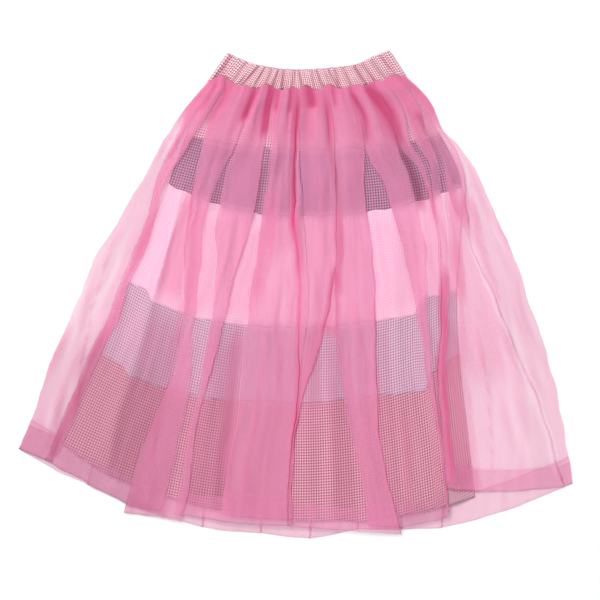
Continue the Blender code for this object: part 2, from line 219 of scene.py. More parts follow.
BACK_PLEATS = (
    BackPleat(-0.82, -0.76, 0.07, "left"),
    BackPleat(-0.61, -0.54, 0.09, "left"),
    BackPleat(-0.40, -0.34, 0.08, "right"),
    BackPleat(-0.18, -0.13, 0.10, "right"),
    BackPleat(0.05, 0.05, 0.09, "left"),
    BackPleat(0.27, 0.22, 0.09, "right"),
    BackPleat(0.48, 0.38, 0.08, "right"),
    BackPleat(0.70, 0.53, 0.07, "right"),
)

# Soft ridges: how high one stands, half its width in mm, and its places across, evenly spaced from its first
# depth to its last. A negative height is a trough.
Ridge = namedtuple("Ridge", "start end height half_width places")

FRONT_RIDGES = (
    Ridge(0.40, 0.86, 2.2, 4.0, (-0.935, -0.924, -0.913, -0.895)),
    Ridge(0.10, 0.40, 1.5, 3.5, (0.226, 0.212, 0.196, 0.184)),
    Ridge(0.44, 0.55, 1.6, 3.5, (0.715, 0.728, 0.709)),
    Ridge(0.55, 0.92, 2.0, 2.2, (0.772, 0.757, 0.738, 0.722)),
    Ridge(0.30, 0.97, 1.2, 5.0, (0.790, 0.830, 0.880, 0.925)),
    Ridge(0.38, 0.62, 2.0, 6.0, (-0.105, -0.125, -0.150, -0.165)),
    Ridge(0.45, 0.98, 1.8, 9.0, (-0.130, -0.125, -0.150, -0.165)),
    Ridge(0.42, 0.98, 1.8, 8.0, (0.270, 0.255, 0.265, 0.310)),
    Ridge(0.16, 0.42, 2.0, 6.0, (0.105, 0.115, 0.110, 0.105)),
    Ridge(0.16, 0.40, 2.0, 6.0, (0.300, 0.280, 0.268, 0.262)),
    Ridge(0.16, 0.42, 1.8, 6.0, (-0.150, -0.150, -0.155, -0.160)),
    Ridge(0.20, 0.50, 1.8, 6.0, (-0.440, -0.430, -0.420, -0.400)),
)

# Hot pink lines down the folds: a ridge's height is its extra cloth
HOT_LINES = (
    Ridge(0.03, 0.96, 2.6, 1.8, (-0.070, -0.068, -0.066, -0.024, -0.012, -0.010, -0.012, -0.030, -0.036)),
    Ridge(0.26, 1.06, 1.2, 6.0, (-0.905, -0.858, -0.843, -0.852, -0.872, -0.893, -0.905)),
    Ridge(0.40, 0.84, 1.7, 1.3, (-0.975, -0.945, -0.912, -0.872)),
    Ridge(0.55, 0.94, 1.0, 1.0, (0.772, 0.757, 0.738, 0.722)),
    Ridge(0.42, 1.02, 3.0, 4.2, (0.700, 0.630, 0.590, 0.578, 0.580)),
    Ridge(0.38, 0.96, 1.4, 1.6, (0.356, 0.340, 0.322, 0.316, 0.330, 0.356)),
    Ridge(0.50, 0.62, 2.0, 1.4, (-0.582, -0.558)),
)

# The larger gathers that swell below the band, and the deep creases between them
WAIST_SWELLS = (
    Ridge(-0.02, 0.22, 4.4, 9.0, (-0.900, -0.850, -0.810)),
    Ridge(-0.02, 0.20, 3.4, 11.0, (-0.640, -0.640, -0.640)),
    Ridge(-0.02, 0.20, 5.4, 7.5, (-0.400, -0.450, -0.475, -0.465)),
    Ridge(-0.02, 0.20, 4.6, 10.0, (-0.200, -0.213, -0.220)),
    Ridge(-0.02, 0.34, 4.2, 5.0, (-0.010, -0.030, -0.030, -0.015)),
    Ridge(-0.02, 0.26, 3.6, 10.0, (0.130, 0.125, 0.120)),
    Ridge(-0.02, 0.26, 5.2, 11.0, (0.330, 0.330, 0.330)),
    Ridge(-0.02, 0.22, 4.4, 9.0, (0.545, 0.560, 0.570)),
    Ridge(-0.02, 0.20, 4.4, 8.0, (0.760, 0.790, 0.790)),
    Ridge(0.00, 0.12, 3.6, 4.0, (0.864, 0.925, 0.960)),
)
WAIST_CREASES = (
    Ridge(-0.02, 0.09, 3.0, 4.0, (-0.500, -0.508, -0.524)),
    Ridge(-0.02, 0.12, 3.6, 4.0, (-0.340, -0.337, -0.335)),
    Ridge(-0.02, 0.36, 3.4, 3.0, (-0.050, -0.064, -0.071, -0.050)),
    Ridge(-0.02, 0.12, 1.5, 3.2, (-0.795, -0.777, -0.779)),
    Ridge(-0.02, 0.05, 2.8, 6.0, (0.030, 0.070, 0.080)),
    Ridge(-0.01, 0.30, 2.4, 2.6, (0.212, 0.192, 0.218, 0.196)),
    Ridge(-0.01, 0.15, 2.4, 3.0, (0.445, 0.483, 0.448)),
    Ridge(-0.02, 0.18, 3.8, 6.5, (0.600, 0.660, 0.685, 0.700)),
    Ridge(-0.02, 0.10, 1.6, 3.4, (-0.930, -0.890, -0.860)),
    Ridge(0.08, 0.20, 2.4, 3.0, (0.885, 0.897, 0.873)),
    Ridge(-0.02, 0.06, 1.8, 3.0, (-0.120, -0.128, -0.135)),
    Ridge(-0.02, 0.06, 1.8, 3.0, (-0.270, -0.262, -0.258)),
    Ridge(-0.02, 0.05, 1.6, 3.0, (0.300, 0.290, 0.285)),
)

# A zone of the cloth: its first and last depths, how much it adds there, and its two edges across
Zone = namedtuple("Zone", "start end amount left right")

# Where the organza is crinkled up more closely than its sheet is: the extra cloth
CRINKLES = (
    Zone(0.24, 0.54, 2.0, (-0.748, -0.728, -0.690), (-0.700, -0.645, -0.562)),
    Zone(0.24, 0.56, 0.7, (-0.680, -0.620, -0.550), (-0.600, -0.550, -0.505)),
    Zone(0.28, 0.54, 0.9, (-0.600, -0.552, -0.507), (-0.530, -0.466, -0.423)),
    Zone(0.29, 0.53, 1.1, (-0.325, -0.352, -0.370), (-0.250, -0.255, -0.257)),
    Zone(0.50, 0.90, 0.8, (-0.330, -0.315, -0.300), (-0.258, -0.250, -0.275)),
    Zone(0.70, 1.00, 0.7, (0.400, 0.398, 0.390), (0.440, 0.436, 0.425)),
    Zone(0.50, 1.08, 0.9, (0.655, 0.605, 0.583), (0.716, 0.680, 0.668)),
    Zone(0.23, 0.54, 0.9, (0.690, 0.625, 0.590), (0.880, 0.810, 0.735)),
    Zone(0.36, 0.70, 0.7, (0.735, 0.680, 0.605), (0.830, 0.735, 0.690)),
    Zone(0.20, 0.48, -1.5, (0.790, 0.712, 0.650), (0.855, 0.770, 0.705)),
    Zone(0.26, 0.75, 0.95, (0.830, 0.720, 0.690), (0.950, 0.890, 0.860)),
    Zone(0.28, 1.02, -1.6, (0.826, 0.834, 0.878, 0.920, 0.955), (0.852, 0.860, 0.902, 0.944, 0.980)),
    Zone(0.10, 0.34, -0.6, (0.905, 0.880, 0.800), (1.000, 0.980, 0.895)),
    Zone(0.60, 1.08, -0.7, (-0.434, -0.446, -0.451), (-0.396, -0.408, -0.414)),
    Zone(0.955, 1.20, -0.4, (-0.470, -0.470, -0.470), (-0.290, -0.290, -0.290)),
    Zone(0.84, 1.10, -0.7, (0.550, 0.550, 0.550), (0.600, 0.600, 0.610)),
    Zone(0.66, 1.20, 0.7, (-1.050, -1.050, -1.050), (-0.880, -0.890, -0.900)),
    Zone(0.40, 0.70, -0.45, (-0.890, -0.875, -0.885), (-0.812, -0.812, -0.826)),
    Zone(0.30, 0.86, -0.1, (-1.060, -1.060, -1.060), (-0.965, -0.930, -0.880)),
    Zone(0.14, 0.50, 0.5, (-1.060, -1.060, -1.060), (-0.870, -0.830, -0.800)),
    Zone(0.16, 0.70, 0.45, (0.930, 0.875, 0.880), (1.060, 1.060, 1.060)),
    Zone(0.50, 1.10, 0.4, (-0.860, -0.880, -0.900), (-0.250, -0.250, -0.270)),
    Zone(0.52, 0.72, -0.4, (-0.560, -0.545, -0.550), (-0.500, -0.480, -0.470)),
    Zone(0.14, 0.30, -0.6, (0.660, 0.645, 0.640), (0.740, 0.725, 0.700)),
    Zone(0.20, 0.50, 0.9, (-0.260, -0.255, -0.250), (-0.150, -0.165, -0.200)),
    Zone(0.24, 0.47, 1.8, (0.189, 0.178, 0.166), (0.228, 0.214, 0.196)),
    Zone(0.26, 0.42, 1.4, (-0.060, -0.040, -0.020), (-0.030, 0.000, 0.010)),
    Zone(0.33, 0.54, -0.45, (-0.215, -0.212, -0.210), (-0.065, -0.055, -0.050)),
    Zone(0.28, 0.53, 0.6, (0.370, 0.360, 0.340), (0.510, 0.527, 0.531)),
    Zone(0.38, 0.56, 2.2, (0.165, 0.120, 0.085), (0.186, 0.176, 0.166)),
    Zone(0.50, 0.72, 0.7, (0.090, 0.040, -0.020), (0.175, 0.160, 0.150)),
    Zone(0.50, 0.80, 0.5, (0.010, -0.005, -0.020), (0.095, 0.090, 0.070)),
)

# Where shade is painted on the organza, over its lower left, along its sides and over part of its hem: how
# much
PINK_SHADE_ZONES = (
    Zone(0.64, 1.30, 0.6, (-0.560, -0.600, -0.620), (-0.470, -0.480, -0.490)),
    Zone(0.60, 1.30, 1.0, (-1.100, -1.100, -1.100), (-0.560, -0.600, -0.620)),
    Zone(0.90, 1.30, 1.0, (0.380, 0.380, 0.380), (0.560, 0.560, 0.560)),
    Zone(0.12, 0.70, 0.6, (-1.100, -1.100, -1.100), (-0.930, -0.900, -0.880)),
    Zone(0.12, 1.30, 0.35, (0.930, 0.860, 0.930), (1.100, 1.100, 1.100)),
)

# Its lesser gathers below the band, across each panel
GATHER_COUNT = 30
FRONT_GATHER_HEIGHT = 1.3
BACK_GATHER_HEIGHT = 0.35

# The organza's first rows, from where it is sewn in to where it leaves the band: the depth of each, how far
# it stands up over the band as a share of the puff there and in mm more, its height in mm, and the shares of
# the puff and of the gathers that raise it
WaistRow = namedtuple("WaistRow", "depth stand more z puff gathers")

WAIST_ROWS = (
    WaistRow(-0.002, 0.00, -1.0, 6.0, 0.00, 0.0),
    WaistRow(0.000, 0.75, 0.0, 8.6, 0.12, 0.5),
    WaistRow(0.002, 1.00, 0.6, 9.4, 0.16, 0.7),
    WaistRow(0.004, 0.85, 0.0, 9.9, 0.10, 0.8),
)
BODY_START = 0.008      # depth of the row below them
WAIST_SETTLE = 0.05     # depth that the cloth takes to come down from the band

# How much the organza hides, in flat layers of it
WAIST_COVER = 0.8       # more below the band
VALLEY_SHADE_COVER = 1.3      # and more again between its gathers and less on their tops, as painted shade that also deepens the pink
FOOT_COVER = 0.3        # more in the front's lower half
TURN_COVER = 3.0        # where it turns at a fold's crisp edge
STITCH_COVER = 0.5      # at the hem's stitches
HEM_COVER = 1.25        # of the turned-up hem alone
LEAST_COVER = 0.7
PLEAT_CRINKLE = 1.38    # how much more closely the cloth is crinkled in a fold than it is drawn
MOST_GATHERED = 2.6     # the most that a row's cloth is gathered up
SOFT_CRINKLE = 0.25     # what a fold's soft edge has of the crinkle at its crisp edge
CRINKLE_EASE = 2.2      # the crinkle comes on in one part in this of a layer's width

# ---------------------------------------------------------------- the inner skirt

# A tier's two depths on the inner skirt, its strip's width in metres, its cloth, and its two yarn colours
Tier = namedtuple("Tier", "number top bottom cut_width slot pale deep")

TIERS = (
    Tier(1, 0.00, 0.13, 0.324, "rose_check", (0.97, 0.76, 0.82), (0.31, 0.010, 0.055)),
    Tier(2, 0.13, 0.28, 0.378, "plum_check", (0.55, 0.30, 0.44), (0.015, 0.003, 0.012)),
    Tier(3, 0.28, 0.53, 0.440, "pale_pink_check", (0.87, 0.68, 0.78), (0.83, 0.48, 0.63)),
    Tier(4, 0.53, 0.71, 0.486, "grey_blue_check", (0.76, 0.63, 0.73), (0.26, 0.16, 0.22)),
    Tier(5, 0.71, 1.00, 0.545, "red_check", (0.84, 0.49, 0.54), (0.16, 0.006, 0.020)),
)

# How far, in mm, the seam below a tier lies below its row, at places across. The skirt has a fold near its
# right side, past which its seams sit higher.
SEAM_DROPS = {
    3: ((-1.0, 0.0), (-0.88, 0.0), (-0.84, 8.0), (-0.60, 7.0), (-0.20, 2.0),
        (0.45, 2.0), (0.62, 6.0), (0.74, 9.0), (0.80, -10.0), (1.0, 0.0)),
    4: ((-1.0, 0.0), (-0.88, 2.0), (-0.84, 9.0), (-0.60, 8.0), (-0.20, 2.0),
        (0.40, 2.0), (0.62, 10.0), (0.79, 19.0), (0.83, 2.0), (1.0, -2.0)),
    5: ((-1.0, 0.0), (-0.80, -2.0), (-0.55, -9.0), (-0.40, -11.0), (-0.25, -11.0),
        (0.0, -5.0), (0.25, -4.5), (0.40, 1.0), (0.60, 0.0), (1.0, 0.0)),
}
SEAM_WAVER = 0.6        # how unevenly each seam runs, in mm
SEAM_GAP = 0.03         # between two tiers, in mm
SEAM_BLUR = 8.0         # how far, in mm, a veiled seam takes on the next tier's colour

INNER_RIDGES = (
    Ridge(0.22, 0.60, 3.4, 5.0, (-0.925, -0.888, -0.850, -0.836)),
    Ridge(0.48, 1.05, 4.2, 8.0, (-0.846, -0.842, -0.842, -0.815, -0.775)),
    Ridge(0.26, 1.04, 3.0, 15.0, (-0.600, -0.580, -0.550, -0.540)),
    Ridge(0.40, 1.04, 3.4, 12.0, (-0.460, -0.440, -0.400, -0.385)),
    Ridge(0.35, 1.04, 2.4, 14.0, (-0.240, -0.230, -0.210, -0.200)),
    Ridge(0.30, 1.04, 4.4, 14.0, (0.085, 0.095, 0.085, 0.075)),
    Ridge(0.44, 1.04, 2.2, 9.0, (0.240, 0.240, 0.230)),
    Ridge(0.20, 1.04, 4.0, 16.0, (0.560, 0.600, 0.620, 0.630)),
    Ridge(0.36, 1.04, 2.8, 6.5, (0.775, 0.812, 0.838, 0.870)),
)

# Where the inner skirt is shaded beside its own folds and those that lie on it: how deeply, and its two edges
INNER_SHADES = (
    Zone(0.50, 1.10, 0.55, (-0.822, -0.818, -0.806, -0.772), (-0.635, -0.625, -0.640, -0.660)),
    Zone(0.50, 1.10, 0.50, (-0.470, -0.470, -0.460), (-0.290, -0.290, -0.280)),
    Zone(0.46, 1.10, 0.35, (-0.360, -0.350, -0.330), (-0.290, -0.290, -0.280)),
    Zone(0.48, 1.10, 0.40, (0.200, 0.225, 0.250), (0.340, 0.350, 0.370)),
    Zone(0.48, 1.10, 0.30, (0.480, 0.525, 0.540), (0.580, 0.600, 0.610)),
    Zone(0.90, 1.10, 0.50, (0.870, 0.870, 0.870), (1.050, 1.050, 1.050)),
    Zone(0.10, 0.32, 1.00, (0.650, 0.690, 0.715), (0.715, 0.750, 0.785)),
    Zone(0.10, 0.32, 0.40, (-0.660, -0.665, -0.680), (-0.600, -0.610, -0.620)),
    Zone(0.15, 0.32, 0.60, (-0.360, -0.380, -0.400), (-0.290, -0.310, -0.340)),
)

# ---------------------------------------------------------------- the waistband

BandTop = namedtuple("BandTop", "across x y")

BAND_TOP = (
    BandTop(-1.00, -81.0, 290.0),
    BandTop(-0.82, -61.0, 279.5),
    BandTop(-0.45, -29.0, 270.5),
    BandTop(0.00, 7.0, 268.0),
    BandTop(0.35, 41.0, 270.0),
    BandTop(0.62, 72.0, 274.5),
    BandTop(0.88, 98.0, 287.0),
    BandTop(1.00, 111.5, 293.0),
)
BAND_BACK_RISE = 2.6
BAND_FRONT_Z = 6.9
BAND_BACK_Z = 1.5
BAND_HALF_WIDTH = 118.0
BAND_THICKNESS = 2.0
BAND_STEPS = 260        # around its front, and as many around its back
OUTER_ROWS = 15         # up its outer face
INNER_ROWS_DOWN = 6     # down its inner face
BAND_OVERLAP = 0.4      # how far its lower edge sits above the waist seam
DEEPEST_GATHER = 3.4
FINE_GATHERS = 64

# The band's deep gathers, across, and how the organza puffs up over its lower edge, across and mm
BAND_CREASES = (-0.93, -0.80, -0.66, -0.56, -0.44, -0.31, -0.22, -0.11, 0.00, 0.10, 0.20, 0.31, 0.39, 0.50,
                0.61, 0.70, 0.80, 0.90)

Puff = namedtuple("Puff", "across half_width rise")

PUFFS = (
    Puff(-0.84, 0.17, 10.0),
    Puff(-0.62, 0.10, 2.0),
    Puff(-0.38, 0.12, 6.0),
    Puff(-0.12, 0.10, 3.5),
    Puff(0.02, 0.10, 6.0),
    Puff(0.25, 0.11, 6.5),
    Puff(0.50, 0.12, 2.5),
    Puff(0.70, 0.10, 3.0),
    Puff(0.87, 0.11, 5.0),
)

# ---------------------------------------------------------------- curves and fans


def smooth_step(value):
    """Ease from 0 to 1 as value goes from 0 to 1."""
    held = np.clip(value, 0.0, 1.0)
    return held * held * (3 - 2 * held)


def curve_through(places, values, place):
    """The values at some places on a smooth curve through the given ones. Past an end it goes on straight."""
    places = np.asarray(places, dtype=float)
    values = np.asarray(values, dtype=float)
    place = np.asarray(place, dtype=float)
    slopes = np.gradient(values, places)
    left = np.clip(np.searchsorted(places, place, side="right") - 1, 0, len(places) - 2)
    span = places[left + 1] - places[left]
    t = (place - places[left]) / span
    held = np.clip(t, 0.0, 1.0)
    rise = values[left + 1] - values[left]
    bend_in = slopes[left] * span - rise
    bend_out = rise - slopes[left + 1] * span
    inside = values[left] + rise * held + held * (1 - held) * (bend_in * (1 - held) + bend_out * held)
    return inside + slopes[left] * np.minimum(t, 0) * span + slopes[left + 1] * np.maximum(t - 1, 0) * span


def bump(away):
    """A soft bump of height 1, from how many of its half widths away a place is."""
    return np.exp(-np.minimum(away * away, 30.0))


def way_along(points):
    """How far along a line of points each one lies, in mm."""
    return np.concatenate(([0.0], np.cumsum(np.linalg.norm(np.diff(points, axis=0), axis=1))))


def fan_columns(rows, depth):
    """The six columns of a fan at some depths."""
    depths = [row.depth for row in rows]
    return [curve_through(depths, [row[index] for row in rows], depth) for index in range(1, 7)]


def fan_point(rows, across, depth):
    """The x and y of places on a fan of rows."""
    left_x, left_y, right_x, right_y, middle_x, middle_y = fan_columns(rows, depth)
    side_x = np.where(across < 0, left_x, right_x)
    side_y = np.where(across < 0, left_y, right_y)
    reach = np.abs(across)
    return middle_x + (side_x - middle_x) * reach, middle_y + (side_y - middle_y) * reach ** ROW_BEND


def fan_place(rows, x, y, depth):
    """The places (across, depth) of points on a fan, from a guess of their depth."""
    across = np.zeros_like(x)
    for _ in range(9):
        left_x, left_y, right_x, right_y, middle_x, middle_y = fan_columns(rows, depth)
        side = np.where(x < middle_x, left_x - middle_x, right_x - middle_x)
        reach = (x - middle_x) / side
        across = np.where(x < middle_x, -reach, reach)
        side_y = np.where(x < middle_x, left_y, right_y)
        row_y = middle_y + (side_y - middle_y) * np.minimum(reach, 1.15) ** ROW_BEND
        depth = np.clip(depth + (row_y - y) / LENGTH, -0.05, 1.1)
    return across, depth


def sway(x, y):
    """How far a place on the organza lies off its straight fold line, in x and in y, in mm."""
    sway_x = soft_waves(x, y, 1.5, 60.0, 31) + soft_waves(x, y, 0.7, 20.0, 32)
    return sway_x, soft_waves(x, y, 1.0, 50.0, 33)


def half_width(rows, depth):
    """Half of a fan's width, in mm, at some depths."""
    columns = fan_columns(rows, depth)
    return (columns[2] - columns[0]) / 2


def ridge_height(ridges, across, depth, width):
    """How high soft ridges stand at some places. width is half the fan's width there, in mm."""
    height = np.zeros_like(across)
    for ridge in ridges:
        depths = np.linspace(ridge.start, ridge.end, len(ridge.places))
        away = (across - curve_through(depths, ridge.places, depth)) * width / ridge.half_width
        along = (depth - ridge.start) / (ridge.end - ridge.start)
        fade = smooth_step(along * 4) * smooth_step((1 - along) * 4)
        height += ridge.height * fade * bump(away)
    return height


def in_zones(zones, across, depth, edge):
    """The sum of what some zones add at each place. edge is how wide their edges are, across."""
    total = np.zeros_like(across)
    for zone in zones:
        depths = np.linspace(zone.start, zone.end, len(zone.left))
        left = curve_through(depths, zone.left, depth)
        right = curve_through(depths, zone.right, depth)
        along = (depth - zone.start) / (zone.end - zone.start)
        fade = smooth_step(along * 5) * smooth_step((1 - along) * 5)
        inside = smooth_step((across - left) / edge + 0.5) * smooth_step((right - across) / edge + 0.5)
        total += zone.amount * fade * inside
    return total


def streaks(across, depth, size, length, seed):
    """Uneven streaks that run down the skirt, mostly from -1 to 1. size and length are theirs, in mm."""
    chance = random.Random(seed)
    total = np.zeros_like(across)
    for _ in range(9):
        turns = 220.0 / (size * chance.uniform(0.6, 1.7))
        drift = LENGTH / length * chance.uniform(-1.0, 1.0)
        total += np.sin(2 * math.pi * (across * turns + depth * drift) + chance.uniform(0, 6.3))
    return total / 3.0


def soft_waves(x, y, height, size, seed):
    """Low uneven waves over the cloth: their height and size in mm."""
    chance = random.Random(seed)
    total = np.zeros_like(x)
    for _ in range(7):
        angle = chance.uniform(0, math.pi)
        pitch = size * chance.uniform(0.6, 1.7)
        turn = 2 * math.pi / pitch
        total += np.sin((x * math.cos(angle) + y * math.sin(angle)) * turn + chance.uniform(0, 6.3))
    return total * height / 4


# ---------------------------------------------------------------- meshes


def cloth(name, grid, uv, closed=False, flip=False, values=None):
    """A sheet through a grid of points in mm, with its UV map in metres and named values at its points."""
    rows, columns = grid.shape[:2]
    index = np.arange(rows * columns).reshape(rows, columns)
    if closed:
        index = np.concatenate((index, index[:, :1]), axis=1)
    corners = [index[:-1, :-1], index[1:, :-1], index[1:, 1:], index[:-1, 1:]]
    if flip:
        corners.reverse()
    faces = np.stack([corner.ravel() for corner in corners], axis=1)
    mesh = bpy.data.meshes.new(name)
    mesh.from_pydata((grid.reshape(-1, 3) * MM).tolist(), [], faces.tolist())
    mesh.polygons.foreach_set("use_smooth", np.ones(len(faces), dtype=bool))

    layer = mesh.uv_layers.new(name="cloth")
    if closed:
        uv = np.concatenate((uv, uv[:, :1] + (uv[:, -1:] - uv[:, -2:-1])), axis=1)
        wide = np.arange(rows * (columns + 1)).reshape(rows, columns + 1)
        spots = [wide[:-1, :-1], wide[1:, :-1], wide[1:, 1:], wide[:-1, 1:]]
        if flip:
            spots.reverse()
        spots = np.stack([spot.ravel() for spot in spots], axis=1)
    else:
        spots = faces
    layer.data.foreach_set("uv", uv.reshape(-1, 2)[spots.ravel()].ravel())

    for label, value in (values or {}).items():
        attribute = mesh.attributes.new(label, "FLOAT", "POINT")
        attribute.data.foreach_set("value", value.ravel().astype(np.float32))
    mesh.update()
    piece = bpy.data.objects.new(name, mesh)
    bpy.context.scene.collection.objects.link(piece)
    return piece


def apply_modifier(piece, name):
    """Apply one of a piece's modifiers."""
    bpy.ops.object.select_all(action="DESELECT")
    piece.select_set(True)
    bpy.context.view_layer.objects.active = piece
    bpy.ops.object.modifier_apply(modifier=name)


def thicken(piece, thickness):
    """Give a sheet its wall, below its outer face."""
    wall = piece.modifiers.new("Wall", "SOLIDIFY")
    wall.thickness = thickness * MM
    wall.offset = -1.0
    apply_modifier(piece, wall.name)


# ---------------------------------------------------------------- finishes


def add_node(tree, kind, x, y, **settings):
    """A node in its place, with its settings."""
    node = tree.nodes.new(kind)
    node.location = (x, y)
    for name, value in settings.items():
        setattr(node, name, value)
    return node


def calculate(tree, operation, x, y, first, second=None, third=None):
    """A Math node on sockets or numbers. Returns its output."""
    node = add_node(tree, "ShaderNodeMath", x, y, operation=operation)
    for socket, value in zip(node.inputs, (first, second, third)):
        if value is None:
            continue
        if isinstance(value, (int, float)):
            socket.default_value = value
        else:
            tree.links.new(value, socket)
    return node.outputs[0]


def start_group(name, inputs, outputs):
    """A node group with named sockets. Returns its tree and its input and output nodes."""
    group = bpy.data.node_groups.new(name, "ShaderNodeTree")
    for label, kind, default in inputs:
        socket = group.interface.new_socket(label, in_out="INPUT", socket_type=kind)
        if default is not None:
            socket.default_value = default
    for label, kind in outputs:
        group.interface.new_socket(label, in_out="OUTPUT", socket_type=kind)
    return group, add_node(group, "NodeGroupInput", -1400, 0), add_node(group, "NodeGroupOutput", 900, 0)


def noise(tree, x, y, place, scale, detail):
    """A noise texture over a place. Returns its value."""
    node = add_node(tree, "ShaderNodeTexNoise", x, y)
    node.inputs["Scale"].default_value = scale
    node.inputs["Detail"].default_value = detail
    tree.links.new(place, node.inputs["Vector"])
    return node.outputs[0]


def drawn_out_noise(tree, x, y, place, across, down):
    """Noise drawn out down the cloth, from how many times it changes in a metre across and down."""
    stretch = add_node(tree, "ShaderNodeMapping", x - 250, y)
    stretch.inputs["Scale"].default_value = (across, down, 1.0)
    tree.links.new(place, stretch.inputs["Vector"])
    return noise(tree, x, y, stretch.outputs[0], 1.0, 3.0)


def share_between(tree, x, y, value, low, high):
    """How far a value is from low to high, from 0 to 1."""
    node = add_node(tree, "ShaderNodeMapRange", x, y)
    node.inputs["From Min"].default_value = low
    node.inputs["From Max"].default_value = high
    tree.links.new(value, node.inputs["Value"])
    return node.outputs["Result"]


def mix_colours(tree, x, y, factor, first, second, blend_type="MIX"):
    """Two colours mixed by a factor. Each is a socket or three numbers. Returns the mixed one."""
    node = add_node(tree, "ShaderNodeMix", x, y, data_type="RGBA", blend_type=blend_type)
    tree.links.new(factor, node.inputs["Factor"])
    for label, colour in (("A", first), ("B", second)):
        if isinstance(colour, tuple):
            node.inputs[label].default_value = (*colour, 1.0)
        else:
            tree.links.new(colour, node.inputs[label])
    return node.outputs["Result"]


def point_value(tree, x, y, label):
    """A named value at the points of the cloth."""
    return add_node(tree, "ShaderNodeAttribute", x, y, attribute_name=label).outputs["Fac"]


def place_weave(tree, group):
    """A weave's group on the cloth's own UV map. Returns its node."""
    place = add_node(tree, "ShaderNodeUVMap", -1300, 0, uv_map="cloth")
    weave = add_node(tree, "ShaderNodeGroup", -1080, 0, node_tree=group)
    tree.links.new(place.outputs["UV"], weave.inputs["Place"])
    return weave


def stripes(tree, position, pitch, soft, x, y):
    """A 0 to 1 stripe that fills half of each pitch, with soft edges."""
    turns = calculate(tree, "DIVIDE", x, y, position, pitch)
    wave = calculate(tree, "SINE", x + 320, y, calculate(tree, "MULTIPLY", x + 160, y, turns, 2 * math.pi))
    scaled = calculate(tree, "DIVIDE", x + 480, y, wave, soft)
    middle = calculate(tree, "MULTIPLY_ADD", x + 640, y, scaled, 0.5, 0.5)
    clamp = add_node(tree, "ShaderNodeClamp", x + 800, y)
    tree.links.new(middle, clamp.inputs["Value"])
    return clamp.outputs["Result"]


def gingham_group():
    """Even checks of two yarns: full colour where both are dyed, half where one is, pale where neither is."""
    tree, entry, leave = start_group(
        "gingham",
        [
            ("Place", "NodeSocketVector", None),
            ("Repeat", "NodeSocketFloat", CHECK),
            ("Thread", "NodeSocketFloat", COTTON_THREAD),
            ("Pale", "NodeSocketColor", (1, 1, 1, 1)),
            ("Deep", "NodeSocketColor", (0.5, 0.1, 0.1, 1)),
            ("Blur", "NodeSocketFloat", 0.0),
        ],
        [("Color", "NodeSocketColor"), ("Roughness", "NodeSocketFloat"), ("Height", "NodeSocketFloat")],
    )
    place, repeat, thread = (entry.outputs[label] for label in ("Place", "Repeat", "Thread"))
    split = add_node(tree, "ShaderNodeSeparateXYZ", -1200, 0)
    tree.links.new(place, split.inputs[0])
    warp = stripes(tree, split.outputs["X"], repeat, 0.35, -1000, 300)
    weft = stripes(tree, split.outputs["Y"], repeat, 0.35, -1000, 100)
    both = calculate(tree, "MULTIPLY", 0, 200, calculate(tree, "ADD", -60, 200, warp, weft), 0.5)

    # plain weave: a thread of one set shows where it passes over one of the other
    across = stripes(tree, split.outputs["X"], thread, 1.0, -1000, -200)
    along = stripes(tree, split.outputs["Y"], thread, 1.0, -1000, -400)
    under = calculate(tree, "MULTIPLY", 0, -260, across, along)
    not_across = calculate(tree, "SUBTRACT", -120, -360, 1.0, across)
    not_along = calculate(tree, "SUBTRACT", -120, -460, 1.0, along)
    over = calculate(tree, "MULTIPLY", 0, -400, not_across, not_along)
    weave = calculate(tree, "ADD", 120, -320, under, over)

    slub = noise(tree, -400, -620, place, 900.0, 2.0)
    uneven = calculate(tree, "MULTIPLY_ADD", -100, -620, slub, 0.24, -0.12)
    plain = calculate(tree, "SUBTRACT", -60, 60, 0.5, both)
    blurred = calculate(tree, "MULTIPLY_ADD", 60, 120, plain, entry.outputs["Blur"], both)
    share = add_node(tree, "ShaderNodeClamp", 200, 200)
    tree.links.new(calculate(tree, "ADD", 120, 120, blurred, uneven), share.inputs["Value"])
    colour = mix_colours(tree, 420, 200, share.outputs[0], entry.outputs["Pale"], entry.outputs["Deep"])

    tree.links.new(colour, leave.inputs["Color"])
    tree.links.new(calculate(tree, "MULTIPLY_ADD", 420, 0, weave, -0.12, 0.92), leave.inputs["Roughness"])
    tree.links.new(weave, leave.inputs["Height"])
    return tree


def organza_group():
    """Crisp sheer threads: how much they hide from place to place, their relief, and darker streaks."""
    tree, entry, leave = start_group(
        "organza_threads",
        [
            ("Place", "NodeSocketVector", None),
            ("Thread", "NodeSocketFloat", ORGANZA_THREAD),
            ("Streak", "NodeSocketFloat", 0.14),
        ],
        [("Density", "NodeSocketFloat"), ("Height", "NodeSocketFloat"), ("Tone", "NodeSocketFloat")],
    )
    place, thread = entry.outputs["Place"], entry.outputs["Thread"]
    split = add_node(tree, "ShaderNodeSeparateXYZ", -1200, 0)
    tree.links.new(place, split.inputs[0])
    across = stripes(tree, split.outputs["X"], thread, 1.0, -1000, 200)
    along = stripes(tree, split.outputs["Y"], thread, 1.0, -1000, 0)
    mesh = calculate(tree, "MAXIMUM", 0, 100, across, along)

    streak = drawn_out_noise(tree, -650, -300, place, 520.0, 22.0)
    centred = calculate(tree, "MULTIPLY_ADD", -400, -300, streak, 2.0, -1.0)
    uneven = calculate(tree, "MULTIPLY", -200, -300, centred, entry.outputs["Streak"])
    bands = drawn_out_noise(tree, -650, -560, place, 130.0, 7.0)

    threads = calculate(tree, "MULTIPLY_ADD", 200, 100, mesh, 0.12, 0.92)
    tree.links.new(calculate(tree, "ADD", 420, 60, threads, uneven), leave.inputs["Density"])
    tree.links.new(calculate(tree, "MULTIPLY_ADD", 420, -160, centred, 1.5, mesh), leave.inputs["Height"])
    tree.links.new(share_between(tree, -400, -560, bands, 0.32, 0.68), leave.inputs["Tone"])
    return tree


